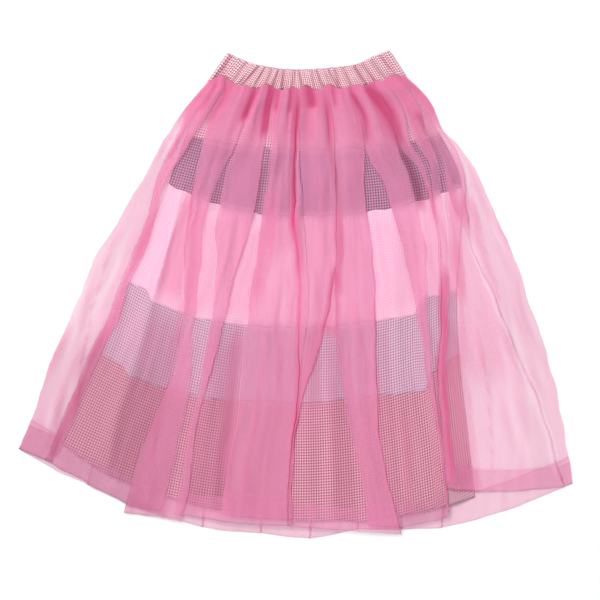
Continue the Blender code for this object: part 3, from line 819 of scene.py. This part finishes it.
def new_finish(name, roughness, sheen):
    """A material with a principled shader. Returns it, its tree and the shader."""
    finish = bpy.data.materials.new(name)
    finish.use_nodes = True
    tree = finish.node_tree
    shader = tree.nodes["Principled BSDF"]
    shader.inputs["Roughness"].default_value = roughness
    shader.inputs["Specular IOR Level"].default_value = 0.25
    shader.inputs["Sheen Weight"].default_value = sheen
    shader.inputs["Sheen Roughness"].default_value = 0.5
    return finish, tree, shader


def add_relief(tree, shader, height, distance):
    """Relief from a height."""
    relief = add_node(tree, "ShaderNodeBump", -260, -300)
    relief.inputs["Strength"].default_value = 0.5
    relief.inputs["Distance"].default_value = distance
    tree.links.new(height, relief.inputs["Height"])
    tree.links.new(relief.outputs["Normal"], shader.inputs["Normal"])


def mean_colour(tier):
    """A tier's colour, seen from too far away for its check."""
    return tuple((pale + deep) / 2 for pale, deep in zip(tier.pale, tier.deep))


def cotton_check(name, gingham, pale, deep, above, below):
    """Gingham in two yarns. Folds that lie over a seam blur it into the tiers above and below."""
    finish, tree, shader = new_finish(name, 0.85, 0.1)
    check = place_weave(tree, gingham)
    check.inputs["Pale"].default_value = (*pale, 1.0)
    check.inputs["Deep"].default_value = (*deep, 1.0)
    veil = point_value(tree, -1500, -160, "veil")
    tree.links.new(calculate(tree, "MULTIPLY", -1300, -160, veil, 0.75), check.inputs["Blur"])
    # painted shade: the check is multiplied darker where shade falls beside folds and in the band's gathers
    painted_shade = point_value(tree, -760, 260, "painted_shade")
    colour = mix_colours(tree, -560, 120, painted_shade, check.outputs["Color"], PAINTED_SHADE_TINT, "MULTIPLY")
    for x, label, beyond in ((-360, "to_above", above), (-180, "to_below", below)):
        colour = mix_colours(tree, x, 220, point_value(tree, x - 180, 420, label), colour, beyond)
    tree.links.new(colour, shader.inputs["Base Color"])
    tree.links.new(check.outputs["Roughness"], shader.inputs["Roughness"])
    add_relief(tree, shader, check.outputs["Height"], 0.00012)
    return finish


def organza_finish(threads):
    """Sheer pink cloth. It hides more, and its pink deepens, where it is crinkled up or turns at a fold, and
    where shade is painted into the creases and between the gathers below the band. Painted shade also
    multiplies its pink darker.
    """
    finish, tree, shader = new_finish("pink_organza", 0.45, 0.15)
    weave = place_weave(tree, threads)
    packed = point_value(tree, -1080, 260, "packed")
    layers = calculate(tree, "MULTIPLY", -840, 120, packed, weave.outputs["Density"])
    clear = calculate(tree, "POWER", -640, 120, 1.0 - LAYER_COVER, layers)
    tree.links.new(calculate(tree, "SUBTRACT", -440, 120, 1.0, clear), shader.inputs["Alpha"])

    deeper = share_between(tree, -840, 420, packed, 1.5, 6.0)
    colour = mix_colours(tree, -640, 420, deeper, ORGANZA_PINK, FOLD_PINK)
    # painted shade: the pink is multiplied darker where shade is painted on it
    painted_pink_shade = point_value(tree, -640, 640, "painted_pink_shade")
    colour = mix_colours(tree, -440, 420, painted_pink_shade, colour, PINK_SHADE_TINT, "MULTIPLY")
    colour = mix_colours(tree, -240, 420, weave.outputs["Tone"], colour, TONE_SHADE, "MULTIPLY")
    tree.links.new(colour, shader.inputs["Base Color"])
    add_relief(tree, shader, weave.outputs["Height"], 0.00003)
    return finish


# ---------------------------------------------------------------- the inner skirt


def side_ease(across, width, reach):
    """From 0 at the side seams to 1 at some mm in from them."""
    return smooth_step((1 - np.abs(across)) * width / reach)


def inner_height(across, depth, x, y):
    """The inner front's outer face: its base and its soft folds."""
    width = half_width(INNER_ROWS, depth)
    folds = ridge_height(INNER_RIDGES, across, depth, width) * smooth_step(depth / 0.1)
    height = INNER_FRONT_Z + folds + soft_waves(x, y, 0.25, 60.0, 3)
    return SIDE_SEAM_Z + (height - SIDE_SEAM_Z) * side_ease(across, width, SIDE_EASE)


def seam_depth(tier, across):
    """The depth of the seam or hem below a tier, at places across."""
    depth = np.full_like(across, tier.bottom)
    drops = SEAM_DROPS.get(tier.number)
    if tier.bottom < 1.0:
        waver = np.sin(across * 47.0 + tier.number) + np.sin(across * 29.0 + tier.number * 2)
        depth += waver * SEAM_WAVER / LENGTH
    if drops:
        depth += np.interp(across, *zip(*drops)) / LENGTH
    return depth


def seam_gathers(across, down, width, seed):
    """Small gathers just below a seam, from how far down it they are in mm."""
    chance = random.Random(seed)
    pitch, height, length, rise = 7.5, 0.22, 16.0, 3.0
    count = int(width.mean() * 2 / pitch)
    phase = np.zeros_like(across)
    for _ in range(3):
        turns = count * chance.uniform(0.7, 1.3)
        phase += np.sin(across * math.pi * turns + chance.uniform(0, 6.3))
    return height * phase * np.exp(-down / length) * smooth_step(down / rise)


def veil_over(x, y, depth):
    """How far the overskirt's folds hide places on the inner skirt, from 0 to 1."""
    sway_x, sway_y = sway(x, y)
    across, depth = fan_place(OVERSKIRT_ROWS, x - sway_x, y - sway_y, depth)
    width = half_width(OVERSKIRT_ROWS, depth)
    veil = smooth_step((0.14 - depth) / 0.05)
    for pleat in FRONT_PLEATS:
        into = (across - curve_through(PLEAT_DEPTHS, pleat.left, depth)) * width
        out_of = (curve_through(PLEAT_DEPTHS, pleat.right, depth) - across) * width
        soft, crisp = (out_of, into) if pleat.crisp == "left" else (into, out_of)
        veil = np.maximum(veil, smooth_step(soft / 9.0 + 0.3) * smooth_step(crisp / 2.5 + 0.5))
    return veil


def front_tier_values(tier, x, y, across, depth, down, up):
    """What a front tier's finish reads at its points: how far it is veiled, how much shade is painted on it
    beside its own folds and those that lie on it, and how much it takes the colour of what lies above it and
    below it. down and up are how far, in mm, the points lie from its two seams."""
    beside = 0.7 if tier.number < 5 else 0.0
    veil = np.maximum(veil_over(x, y, depth), beside * smooth_step((across - 0.90) / 0.04))
    corner = 0.45 * smooth_step((across - 0.84) / 0.03) * smooth_step((depth - 0.955) / 0.015)
    return {
        "veil": veil,
        # painted shade beside the inner skirt's own folds and under those of the overskirt
        "painted_shade": np.clip(in_zones(INNER_SHADES, across, depth, 0.045), 0, 1),
        "to_above": veil * smooth_step(1 - down / SEAM_BLUR) * 0.5,
        "to_below": np.maximum(veil * smooth_step(1 - up / SEAM_BLUR) * 0.5, corner),
    }


def inner_tier(tier, front, finish):
    """One tier of the inner skirt, from its seam to the next, or to its hem."""
    columns, row_height = (300, 2.6) if front else (120, 5.0)
    length = (tier.bottom - tier.top) * LENGTH
    rows = 2 + int(length / row_height)
    across = np.tile(np.linspace(-1.0, 1.0, columns), (rows, 1))
    share = np.tile(np.linspace(0.0, 1.0, rows)[:, None], (1, columns))
    above = np.zeros_like(across)
    if tier.number > 1:
        above = seam_depth(TIERS[tier.number - 2], across)
    below = seam_depth(tier, across)
    gap = SEAM_GAP / LENGTH
    depth = above + gap + (below - above - 2 * gap) * share
    x, y = fan_point(INNER_ROWS, across, depth)
    width = half_width(INNER_ROWS, depth)
    gathers = seam_gathers(across, share * length, width, 20 + tier.number)
    values = None
    if front:
        z = inner_height(across, depth, x, y) + gathers
        values = front_tier_values(tier, x, y, across, depth, share * length, (1 - share) * length)
    else:
        z = INNER_BACK_Z + COTTON + gathers * 0.6 + soft_waves(x, y, 0.12, 70.0, 5)
        z = BACK_SEAM_Z + (z - BACK_SEAM_Z) * side_ease(across, width, SIDE_EASE)
    grid = np.stack((x, y, z), axis=2)
    u = way_along(grid[rows // 2])
    u = np.tile(u * tier.cut_width / u[-1], (rows, 1))
    steps_down = np.linalg.norm(np.diff(grid[:, :, :2], axis=0, prepend=grid[:1, :, :2]), axis=2)
    v = -((above - tier.top) * LENGTH + np.cumsum(steps_down, axis=0)) * MM
    name = f"inner_{'front' if front else 'back'}_tier_{tier.number}"
    piece = cloth(f"{name}_cloth", grid, np.stack((u, v), axis=2), flip=not front, values=values)
    thicken(piece, COTTON)
    piece.data.materials.append(finish)
    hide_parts(name)
    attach(piece, "root")


# ---------------------------------------------------------------- the overskirt

# A panel: its folds and hem, the spacing of its lines in mm, how far in mm a fold's two lower layers end
# short of the hem, its rows, how far its hem is turned up in mm, the seed of its crinkles, how far its folds
# are crinkled and hot at their edges, and how much its slopes hide
Panel = namedtuple("Panel", "pleats hem line_spacing tuck rows turn_up seed crinkled hot slopes")

# A line down a panel: its places across and its levels in the stack at PLEAT_DEPTHS, how far it bulges out of
# a fold's edge, the depth where it ends, how hot it is and how closely it is crinkled
Line = namedtuple("Line", "places levels out end hot crinkled")

# What a panel's points have: their places, half the fan's width there, their level in the stack, the gathers
# and creases below the band, the crumple of the cloth, and how free it is of the waist
Spots = namedtuple("Spots", "across depth width level gathers creases crumple free")

HEM_ROWS = 9


def hem_depth(hem, across):
    """The depth that a hem reaches at a place across."""
    return float(np.interp(across, [point.across for point in hem], [point.depth for point in hem]))


def back_pleats():
    """The back's folds as full ones."""
    pleats = []
    for fold in BACK_PLEATS:
        middle = [fold.waist + (fold.hem - fold.waist) * depth for depth in PLEAT_DEPTHS]
        half = [fold.width * (BACK_FOLD_AT_WAIST - BACK_FOLD_NARROWS * depth) for depth in PLEAT_DEPTHS]
        end = hem_depth(BACK_HEM, fold.hem)
        left = tuple(m - h for m, h in zip(middle, half))
        right = tuple(m + h for m, h in zip(middle, half))
        pleats.append(Pleat(fold.crisp, end, end, left, right))
    return pleats


def fold_lines(panel):
    """The lines down a folded panel, from its left edge to its right one. A fold is three runs of cloth, one
    over the other, with a tight turn between two of them."""
    knots = np.array(PLEAT_DEPTHS)
    widths = half_width(OVERSKIRT_ROWS, knots)
    lines = []

    def run(left, right, level, ends, climb=0.0, fall=0.0, skip_first=True, crinkle=(0.0, 0.0)):
        """Cloth from one edge to the next. climb and fall are the level of a fold that it rises to or comes
        off. crinkle says how closely it is crinkled at its two ends."""
        left, right = np.array(left), np.array(right)
        size = np.abs(right - left) * widths
        steps = max(2, int(math.ceil(np.max(size) / panel.line_spacing)))
        share = np.clip(SOFT_RISE / np.maximum(size, 1.0), 0.05, 0.45)
        for step in range(1 if skip_first else 0, steps + 1):
            t = step / steps
            levels = np.full(len(knots), float(level))
            if climb:
                levels = np.maximum(levels, climb * smooth_step((t - 1 + share) / share))
            if fall:
                levels = np.maximum(levels, fall * smooth_step((share - t) / share))
            grows = crinkle[0] < crinkle[1]
            come = float(smooth_step(t * CRINKLE_EASE - (0.0 if grows else CRINKLE_EASE - 1.0)))
            closely = crinkle[0] + (crinkle[1] - crinkle[0]) * come
            end = ends[0] + (ends[1] - ends[0]) * t
            lines.append(Line(left + (right - left) * t, levels, 0.0, end, 0.0, closely))

    def turn(edge, side, low, high, end, downwards, hot):
        """The cloth's turn at a fold's edge, on one side, between two levels."""
        for angle in (60, 20, -20, -60):
            spin = math.radians(angle if downwards else -angle)
            levels = np.full(len(knots), (low + high) / 2 + (high - low) / 2 * math.sin(spin))
            closely = 1.0 if hot else SOFT_CRINKLE
            lines.append(Line(np.array(edge), levels, side * math.cos(spin), end, hot, closely))

    edge = np.full(len(knots), -1.0)
    edge_end = hem_depth(panel.hem, -1.0)
    came_off = 0.0
    short = panel.tuck / LENGTH
    rising, falling = (SOFT_CRINKLE, 1.0), (1.0, SOFT_CRINKLE)
    for number, pleat in enumerate(panel.pleats):
        left, right = pleat.left, pleat.right
        ends = (pleat.end_left, pleat.end_right)
        tucked_ends = (pleat.end_left - short, pleat.end_right - short)
        if pleat.crisp == "right":
            run(edge, left, 0, (edge_end, ends[0]), climb=2.0, fall=came_off, skip_first=number > 0)
            run(left, right, 2, ends, crinkle=rising)
            turn(right, 1, 1, 2, ends[1], True, 1.0)
            run(right, left, 1, tucked_ends[::-1], skip_first=False, crinkle=falling)
            turn(left, -1, 0, 1, tucked_ends[0], True, 0.0)
            run(left, right, 0, tucked_ends, skip_first=False, crinkle=rising)
            edge_end = hem_depth(panel.hem, right[-1] + 0.002)
            came_off = 0.0
        else:
            hem_end = hem_depth(panel.hem, left[-1] - 0.002)
            run(edge, left, 0, (edge_end, hem_end), fall=came_off, skip_first=number > 0)
            run(left, right, 0, tucked_ends, crinkle=falling)
            turn(right, 1, 0, 1, tucked_ends[1], False, 0.0)
            run(right, left, 1, tucked_ends[::-1], skip_first=False, crinkle=rising)
            turn(left, -1, 1, 2, ends[0], False, 1.0)
            run(left, right, 2, ends, skip_first=False, crinkle=falling)
            edge_end = ends[1]
            came_off = 2.0
        edge = right
    run(edge, np.full(len(knots), 1.0), 0, (edge_end, hem_depth(panel.hem, 1.0)), fall=came_off)
    return lines


def gather_height(across, depth, seed, height):
    """Fine gathers that run down from the waist and die out at uneven depths."""
    chance = random.Random(seed)
    total = np.zeros_like(across)
    for number in range(GATHER_COUNT):
        waist = -1 + (2 * number + 1 + chance.uniform(-0.5, 0.5)) / GATHER_COUNT
        drift = chance.uniform(-0.03, 0.03)
        length = chance.choice((0.12, 0.16, 0.22, 0.30, 0.40, 0.52))
        wide = chance.uniform(0.30, 0.48) / GATHER_COUNT * (1 + depth * 1.2)
        away = (across - waist - drift * depth / 0.2) / wide
        fade = smooth_step((length - depth) / length) * smooth_step((depth + 0.02) / 0.03)
        total += height * chance.uniform(0.6, 1.5) * fade * bump(away)
    return total


def puff_rise(across):
    """How far up over the band the organza puffs."""
    rise = np.zeros_like(across)
    for puff in PUFFS:
        rise = np.maximum(rise, puff.rise * smooth_step(1 - np.abs(across - puff.across) / puff.half_width))
    return rise


def panel_depths(ends, rows, turn_up):
    """The depths of a panel's points: its rows from waist to hem, then the turned-up hem on its way back."""
    shares = np.concatenate(([row.depth for row in WAIST_ROWS], np.linspace(BODY_START, 1.0, rows)))
    depth = shares[:, None] * ends[None, :]
    for row in range(1, HEM_ROWS + 1):
        depth = np.concatenate((depth, ends[None, :] - turn_up * (row / HEM_ROWS) ** 1.3))
    return depth


def front_base(across, depth, x, y, width):
    """The front's height where it lies over the inner skirt and comes down past it. Also how far down it has
    come, and how free it is of its own side seams."""
    inner_across, inner_depth = fan_place(INNER_ROWS, x, y, depth)
    high = inner_height(np.clip(inner_across, -1, 1), inner_depth, x, y) + OVER_FRONT_LIFT
    outside = (np.abs(inner_across) - 1) * half_width(INNER_ROWS, inner_depth)
    beyond = np.maximum(outside, (inner_depth - 1.0) * LENGTH * 1.2)
    fall = smooth_step((beyond - RAMP_START) / (RAMP_END - RAMP_START))
    base = high + (OVER_FRONT_LOW - high) * fall
    seam = side_ease(across, width, OVER_SEAM_EASE)
    base = OVER_SEAM_Z + (base - OVER_SEAM_Z) * seam
    base += soft_waves(x, y, 0.25, 42.0, 11) * seam
    return base, fall, seam


def puff_over_band(across, depth, y, z, gathers):
    """Push the front's first rows up over the band, and let the cloth below settle down from them."""
    puff = puff_rise(across) + 1.6
    for row, waist in enumerate(WAIST_ROWS):
        y[row] += puff[row] * waist.stand + waist.more
        z[row] = waist.z + puff[row] * waist.puff + gathers[row] * waist.gathers
    body = slice(len(WAIST_ROWS), -HEM_ROWS)
    settle = smooth_step((depth - BODY_START) / WAIST_SETTLE)
    high_waist = WAIST_ROWS[-1].z + gathers * WAIST_ROWS[-1].gathers
    z[body] = (high_waist + (z - high_waist) * settle)[body]


def turn_hem_under(grid, side_sign):
    """Move the turned-up hem to the wrong side of the cloth."""
    down = np.gradient(grid, axis=0)
    side = np.gradient(grid, axis=1)
    down[-HEM_ROWS:] *= -1
    normal = np.cross(down, side)
    normal /= np.linalg.norm(normal, axis=2, keepdims=True) + 1e-9
    grid[-HEM_ROWS:] += normal[-HEM_ROWS:] * (side_sign * HEM_GAP)


def how_packed(panel, front, lines, spots, grid):
    """How much a panel hides at its points, in flat layers of organza."""
    ends, hot, crinkled = np.array([[line.end, line.hot, line.crinkled] for line in lines]).T
    depth = spots.depth
    run = np.linalg.norm(np.diff(grid, axis=1), axis=2).sum(axis=1)[:, None]
    gathered = np.clip(ORGANZA_CUT[0] / MM / run, 1.0, MOST_GATHERED)
    spacing = np.linalg.norm(np.diff(grid, axis=1, append=grid[:, -1:]), axis=2)
    slope = np.minimum(np.abs(np.gradient(grid[:, :, 2], axis=1) / (spacing + 0.4)), 1.2)
    waist = smooth_step((0.15 - depth) / 0.09)
    packed = 1.0 + (gathered * PLEAT_CRINKLE - 1.0) * np.maximum(crinkled * panel.crinkled, waist)
    packed += waist * WAIST_COVER + slope * panel.slopes
    if front:
        # painted shade: more cover and a deeper pink between the gathers below the band, less on their tops
        packed += waist * VALLEY_SHADE_COVER * (0.6 - np.clip(spots.gathers / 4.0, 0.0, 1.0))
        packed += FOOT_COVER * smooth_step((depth - 0.45) / 0.25)
        # partly the cloth drawn into each crease, partly painted shade: the creases below the band hide more
        # and deepen the pink
        packed += np.minimum(spots.creases, 3.4) * smooth_step((depth + 0.01) / 0.02)
    packed *= 1.0 + 0.16 * spots.crumple * spots.free
    packed[-HEM_ROWS:] = HEM_COVER
    narrow = np.clip(run / run.mean(), 0.2, 1.0)
    uneven = np.clip(0.75 + 0.45 * streaks(spots.across, depth, 60.0, 60.0, 44), 0.2, 1.4)
    packed += hot * panel.hot * TURN_COVER * narrow * uneven * smooth_step((depth - 0.10) / 0.12)
    if front:
        packed += in_zones(CRINKLES, spots.across, depth, 0.012)
        packed += ridge_height(HOT_LINES, spots.across, depth, spots.width)
    stitch = np.abs(ends - panel.turn_up / LENGTH - depth) * LENGTH
    packed = np.maximum(packed, LEAST_COVER) + STITCH_COVER * np.exp(-(stitch / 1.2) ** 2)
    if not front:
        # the middle layer of a fold fades where the folds close up towards the hem
        middle_layer = np.clip(1 - np.abs(spots.level - 1), 0, 1)
        packed *= 1 - 0.9 * middle_layer * smooth_step((depth - 0.78) / 0.12)
    return packed


def how_shaded_pink(front, spots):
    """How much shade is painted on a panel's pink at its points. On the front it lies in zones and in the
    creases below the band, less where the gathers swell; on the back it is even.
    """
    if not front:
        return np.full_like(spots.depth, 0.3)
    # painted shade in the creases below the band, less where the gathers swell up
    deep = np.clip(spots.creases * 0.42 - spots.gathers * 0.12, 0.0, 1.5)
    near_waist = smooth_step((0.30 - spots.depth) / 0.10)
    return in_zones(PINK_SHADE_ZONES, spots.across, spots.depth, 0.06) + deep * near_waist


def folded_panel(name, panel, front, finish):
    """A panel of organza through its lines, with its gathers, its folds and its turned-up hem."""
    lines = fold_lines(panel)
    ends, out = np.array([[line.end, line.out] for line in lines]).T
    depth = panel_depths(ends, panel.rows, panel.turn_up / LENGTH)
    across = np.empty_like(depth)
    level = np.empty_like(depth)
    for column, line in enumerate(lines):
        across[:, column] = curve_through(PLEAT_DEPTHS, line.places, depth[:, column])
        level[:, column] = np.interp(depth[:, column], PLEAT_DEPTHS, line.levels)
    width = half_width(OVERSKIRT_ROWS, np.clip(depth, 0, 1.02))
    pinch = 0.25 + 0.75 * smooth_step(depth / 0.22)
    x, y = fan_point(OVERSKIRT_ROWS, across + out * TURN_RADIUS * pinch / width, depth)
    free = smooth_step(depth / 0.12)
    sway_x, sway_y = sway(x, y)
    x, y = x + sway_x * free, y + sway_y * free
    crumple = streaks(across, depth, 11.0, 90.0, panel.seed)
    crumple *= smooth_step(0.5 + streaks(across, depth, 70.0, 150.0, 43))

    creases = None
    if front:
        base, fall, seam = front_base(across, depth, x, y, width)
        folds = ridge_height(FRONT_RIDGES, across, depth, width)
        gathers = gather_height(across, depth, 4, FRONT_GATHER_HEIGHT)
        swells = ridge_height(WAIST_SWELLS, across, depth, width)
        creases = ridge_height(WAIST_CREASES, across, depth, width)
        gathers = np.maximum(gathers + swells - creases, -0.6)
        crumple *= 1.0 + 1.3 * smooth_step((np.abs(across) - 0.78) / 0.12)
        relief = folds + gathers + np.maximum(crumple, -0.3) * 0.7 * free
        step = LAYER_STEP * pinch * (1 - 0.6 * fall)
        z = base + level * step + relief * seam
        puff_over_band(across, depth, y, z, gathers)
    else:
        gathers = gather_height(across, depth, 8, BACK_GATHER_HEIGHT)
        z = OVER_BACK_Z + level * LAYER_STEP * 0.5 * pinch + gathers
    grid = np.stack((x, y, z), axis=2)
    turn_hem_under(grid, -1.0 if front else 1.0)
    spots = Spots(across, depth, width, level, gathers, creases, crumple, free)

    u = way_along(grid[panel.rows // 2])
    u = np.tile(u * (ORGANZA_CUT[0] / u[-1]), (len(depth), 1))
    v = -depth * LENGTH * MM
    v[-HEM_ROWS:] += UNDER_HEM_SHIFT
    # each point carries its packing and the shade painted on its pink
    values = {"packed": how_packed(panel, front, lines, spots, grid), "painted_pink_shade": how_shaded_pink(front, spots)}
    piece = cloth(f"{name}_organza", grid, np.stack((u, v), axis=2), flip=not front, values=values)
    piece.data.materials.append(finish)
    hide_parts(name)
    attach(piece, "root")


# ---------------------------------------------------------------- the waistband

def band_ruffle(across, height):
    """How the band's outer face stands out between its gathers. height runs from 0 at its lower edge to 1."""
    chance = random.Random(12)
    relief = np.zeros_like(across)
    for place in BAND_CREASES:
        lean = chance.uniform(-0.035, 0.035)
        wide = chance.uniform(0.009, 0.020)
        deep = chance.uniform(1.0, 2.8)
        away = (across - place - chance.uniform(-0.03, 0.03) - lean * (height - 0.5)) / wide
        relief -= deep * bump(away)
    for number in range(FINE_GATHERS):
        place = -0.97 + 1.94 * (number + 0.5 + chance.uniform(-0.6, 0.6)) / FINE_GATHERS
        lean = chance.uniform(-0.03, 0.03)
        top = chance.uniform(0.35, 1.2)
        low = chance.uniform(-0.3, 0.5)
        away = (across - place - lean * (height - 0.5)) / chance.uniform(0.006, 0.011)
        fade = smooth_step((top - height) * 4) * smooth_step((height - low) * 4 + 1)
        relief -= chance.uniform(0.4, 1.3) * fade * bump(away)
    return np.maximum(relief, -DEEPEST_GATHER)


def band_outline():
    """Once round the flat band: its places across, their height, which way is out there, and how far each is
    on the back."""
    middle_z = (BAND_FRONT_Z + BAND_BACK_Z) / 2
    radius = (BAND_FRONT_Z - BAND_BACK_Z) / 2
    inset = 1.0 - radius / BAND_HALF_WIDTH
    straight = np.linspace(-inset, inset, BAND_STEPS)
    turn = np.radians(np.linspace(0, 180, 9)[1:-1])
    bulge, lift = np.sin(turn), np.cos(turn)
    flat = np.ones(BAND_STEPS)
    across = np.concatenate((straight, inset + (1 - inset) * bulge, -straight, -inset - (1 - inset) * bulge))
    z = np.concatenate((
        flat * BAND_FRONT_Z, middle_z + radius * lift, flat * BAND_BACK_Z, middle_z - radius * lift))
    out_x = np.concatenate((flat * 0, bulge, flat * 0, -bulge))
    out_z = np.concatenate((flat, lift, -flat, -lift))
    back = np.clip((BAND_FRONT_Z - z) / (2 * radius), 0, 1)
    return np.clip(across, -1, 1), z, out_x, out_z, back


def waistband(finish):
    """A ruched strip round its elastic, laid flat: the front, a turn at each end, and the back under it."""
    across, z, out_x, out_z, back = band_outline()
    places = [spot.across for spot in BAND_TOP]
    top_x = curve_through(places, [spot.x for spot in BAND_TOP], across)
    top_y = curve_through(places, [spot.y for spot in BAND_TOP], across)
    top_y += BAND_BACK_RISE * back * (1 - across ** 4)
    low_x, low_y = fan_point(OVERSKIRT_ROWS, across, np.zeros_like(across))
    low_y += BAND_OVERLAP

    # once round the strip's own section: up its outer face, over its top, down its inner face
    rise = np.concatenate((np.linspace(0.0, 1.0, OUTER_ROWS), np.linspace(1.0, 0.0, INNER_ROWS_DOWN)))
    reliefs = [band_ruffle(across, up) for up in rise]
    loose = np.where(back > 0.5, 0.3, 1.0)
    grid = np.zeros((len(rise), len(across), 3))
    for row, (up, relief) in enumerate(zip(rise, reliefs)):
        side, ruffled = (1.0, 0.9) if row < OUTER_ROWS else (-1.0, 0.6)
        edge = min(up, 1 - up)
        full = math.sqrt(1 - (1 - min(edge / 0.10, 1.0)) ** 2)
        offset = side * BAND_THICKNESS / 2 * (0.15 + 0.85 * full) + relief * ruffled * full * loose
        scallop = relief * (0.35 * up ** 5 - 0.9 * (1 - up) ** 5)
        grid[row, :, 0] = low_x + (top_x - low_x) * up + out_x * offset
        grid[row, :, 1] = low_y + (top_y - low_y) * up + scallop
        grid[row, :, 2] = z + out_z * offset
    grid = np.concatenate((grid, grid[:1]))
    around = way_along(grid[OUTER_ROWS // 2])
    even = way_along(np.stack((across * BAND_HALF_WIDTH, z), axis=1))
    u = np.tile((0.35 * around / around[-1] + 0.65 * even / even[-1]) * BAND_CUT[0], (len(grid), 1))
    waver = sum(np.sin(u[0] * turns + phase) for turns, phase in ((310.0, 0.3), (530.0, 1.9), (870.0, 4.0)))
    climb = np.append(rise, 0.0)[:, None] * BAND_CUT[1] * 1.2
    v = climb + 0.0005 * waver
    # painted shade: the band's cotton darkens towards the bottom of each gather
    painted_shade = np.clip(-np.array(reliefs + reliefs[:1]) / DEEPEST_GATHER, 0, 1)
    values = {"painted_shade": painted_shade}
    piece = cloth("waistband_cloth", grid, np.stack((u, v), axis=2), closed=True, flip=True, values=values)
    weld = piece.modifiers.new("Weld", "WELD")
    weld.merge_threshold = 0.00001
    apply_modifier(piece, weld.name)
    piece.data.materials.append(finish)
    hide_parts("waistband")
    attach(piece, "root")


# ---------------------------------------------------------------- the studio

VIEW_CENTRE = (5.2, -6.6)   # in mm
CAMERA_HEIGHT = 6.0
CAMERA_LENS = 300.0


def studio():
    """A white table, soft light from all round with a little more from one side, and a camera overhead."""
    world = bpy.data.worlds.new("studio")
    bpy.context.scene.world = world
    world.use_nodes = True
    sky = world.node_tree.nodes["Background"]
    sky.inputs["Color"].default_value = (1.0, 1.0, 1.0, 1.0)
    sky.inputs["Strength"].default_value = 0.78

    bpy.ops.object.select_all(action="DESELECT")
    bpy.ops.mesh.primitive_plane_add(size=6.0, location=(0, 0, 0))
    table = bpy.context.object
    table.name = "table"
    top, _, shader = new_finish("table_white", 0.8, 0.0)
    shader.inputs["Base Color"].default_value = (0.84, 0.84, 0.84, 1.0)
    table.data.materials.append(top)

    lamp = bpy.data.lights.new("window", "AREA")
    lamp.shape = "DISK"
    lamp.size = 2.0
    lamp.energy = 127.0
    window = bpy.data.objects.new("window", lamp)
    window.location = (-1.6, 2.1, 3.4)
    window.rotation_euler = (math.radians(-29.2), math.radians(-25.2), 0.0)
    bpy.context.scene.collection.objects.link(window)

    lens = bpy.data.cameras.new("overhead")
    lens.lens = CAMERA_LENS
    lens.sensor_width = 36.0
    lens.clip_end = 20.0
    camera = bpy.data.objects.new("overhead", lens)
    camera.location = (VIEW_CENTRE[0] * MM, VIEW_CENTRE[1] * MM, CAMERA_HEIGHT)
    bpy.context.scene.collection.objects.link(camera)
    bpy.context.scene.camera = camera

    bpy.context.scene.view_settings.view_transform = "Standard"
    bpy.context.scene.cycles.transparent_max_bounces = 40


def main():
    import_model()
    bpy.ops.object.select_all(action="DESELECT")
    gingham = gingham_group()
    threads = organza_group()
    organza = organza_finish(threads)
    for index, tier in enumerate(TIERS):
        above = mean_colour(TIERS[max(index - 1, 0)])
        below = mean_colour(TIERS[index + 1]) if index < len(TIERS) - 1 else HEM_VEIL
        finish = cotton_check(tier.slot, gingham, tier.pale, tier.deep, above, below)
        inner_tier(tier, False, finish)
        inner_tier(tier, True, finish)
        if tier.number == 1:
            waistband(finish)
    back = Panel(back_pleats(), BACK_HEM, line_spacing=7.0, tuck=0.3, rows=90, turn_up=35.0, seed=42,
                 crinkled=0.0, hot=0.2, slopes=0.4)
    front = Panel(FRONT_PLEATS, FRONT_HEM, line_spacing=3.4, tuck=8.0, rows=142, turn_up=28.0, seed=41,
                  crinkled=1.0, hot=1.0, slopes=0.9)
    folded_panel("overskirt_back", back, False, organza)
    folded_panel("overskirt_front", front, True, organza)
    studio()


main()
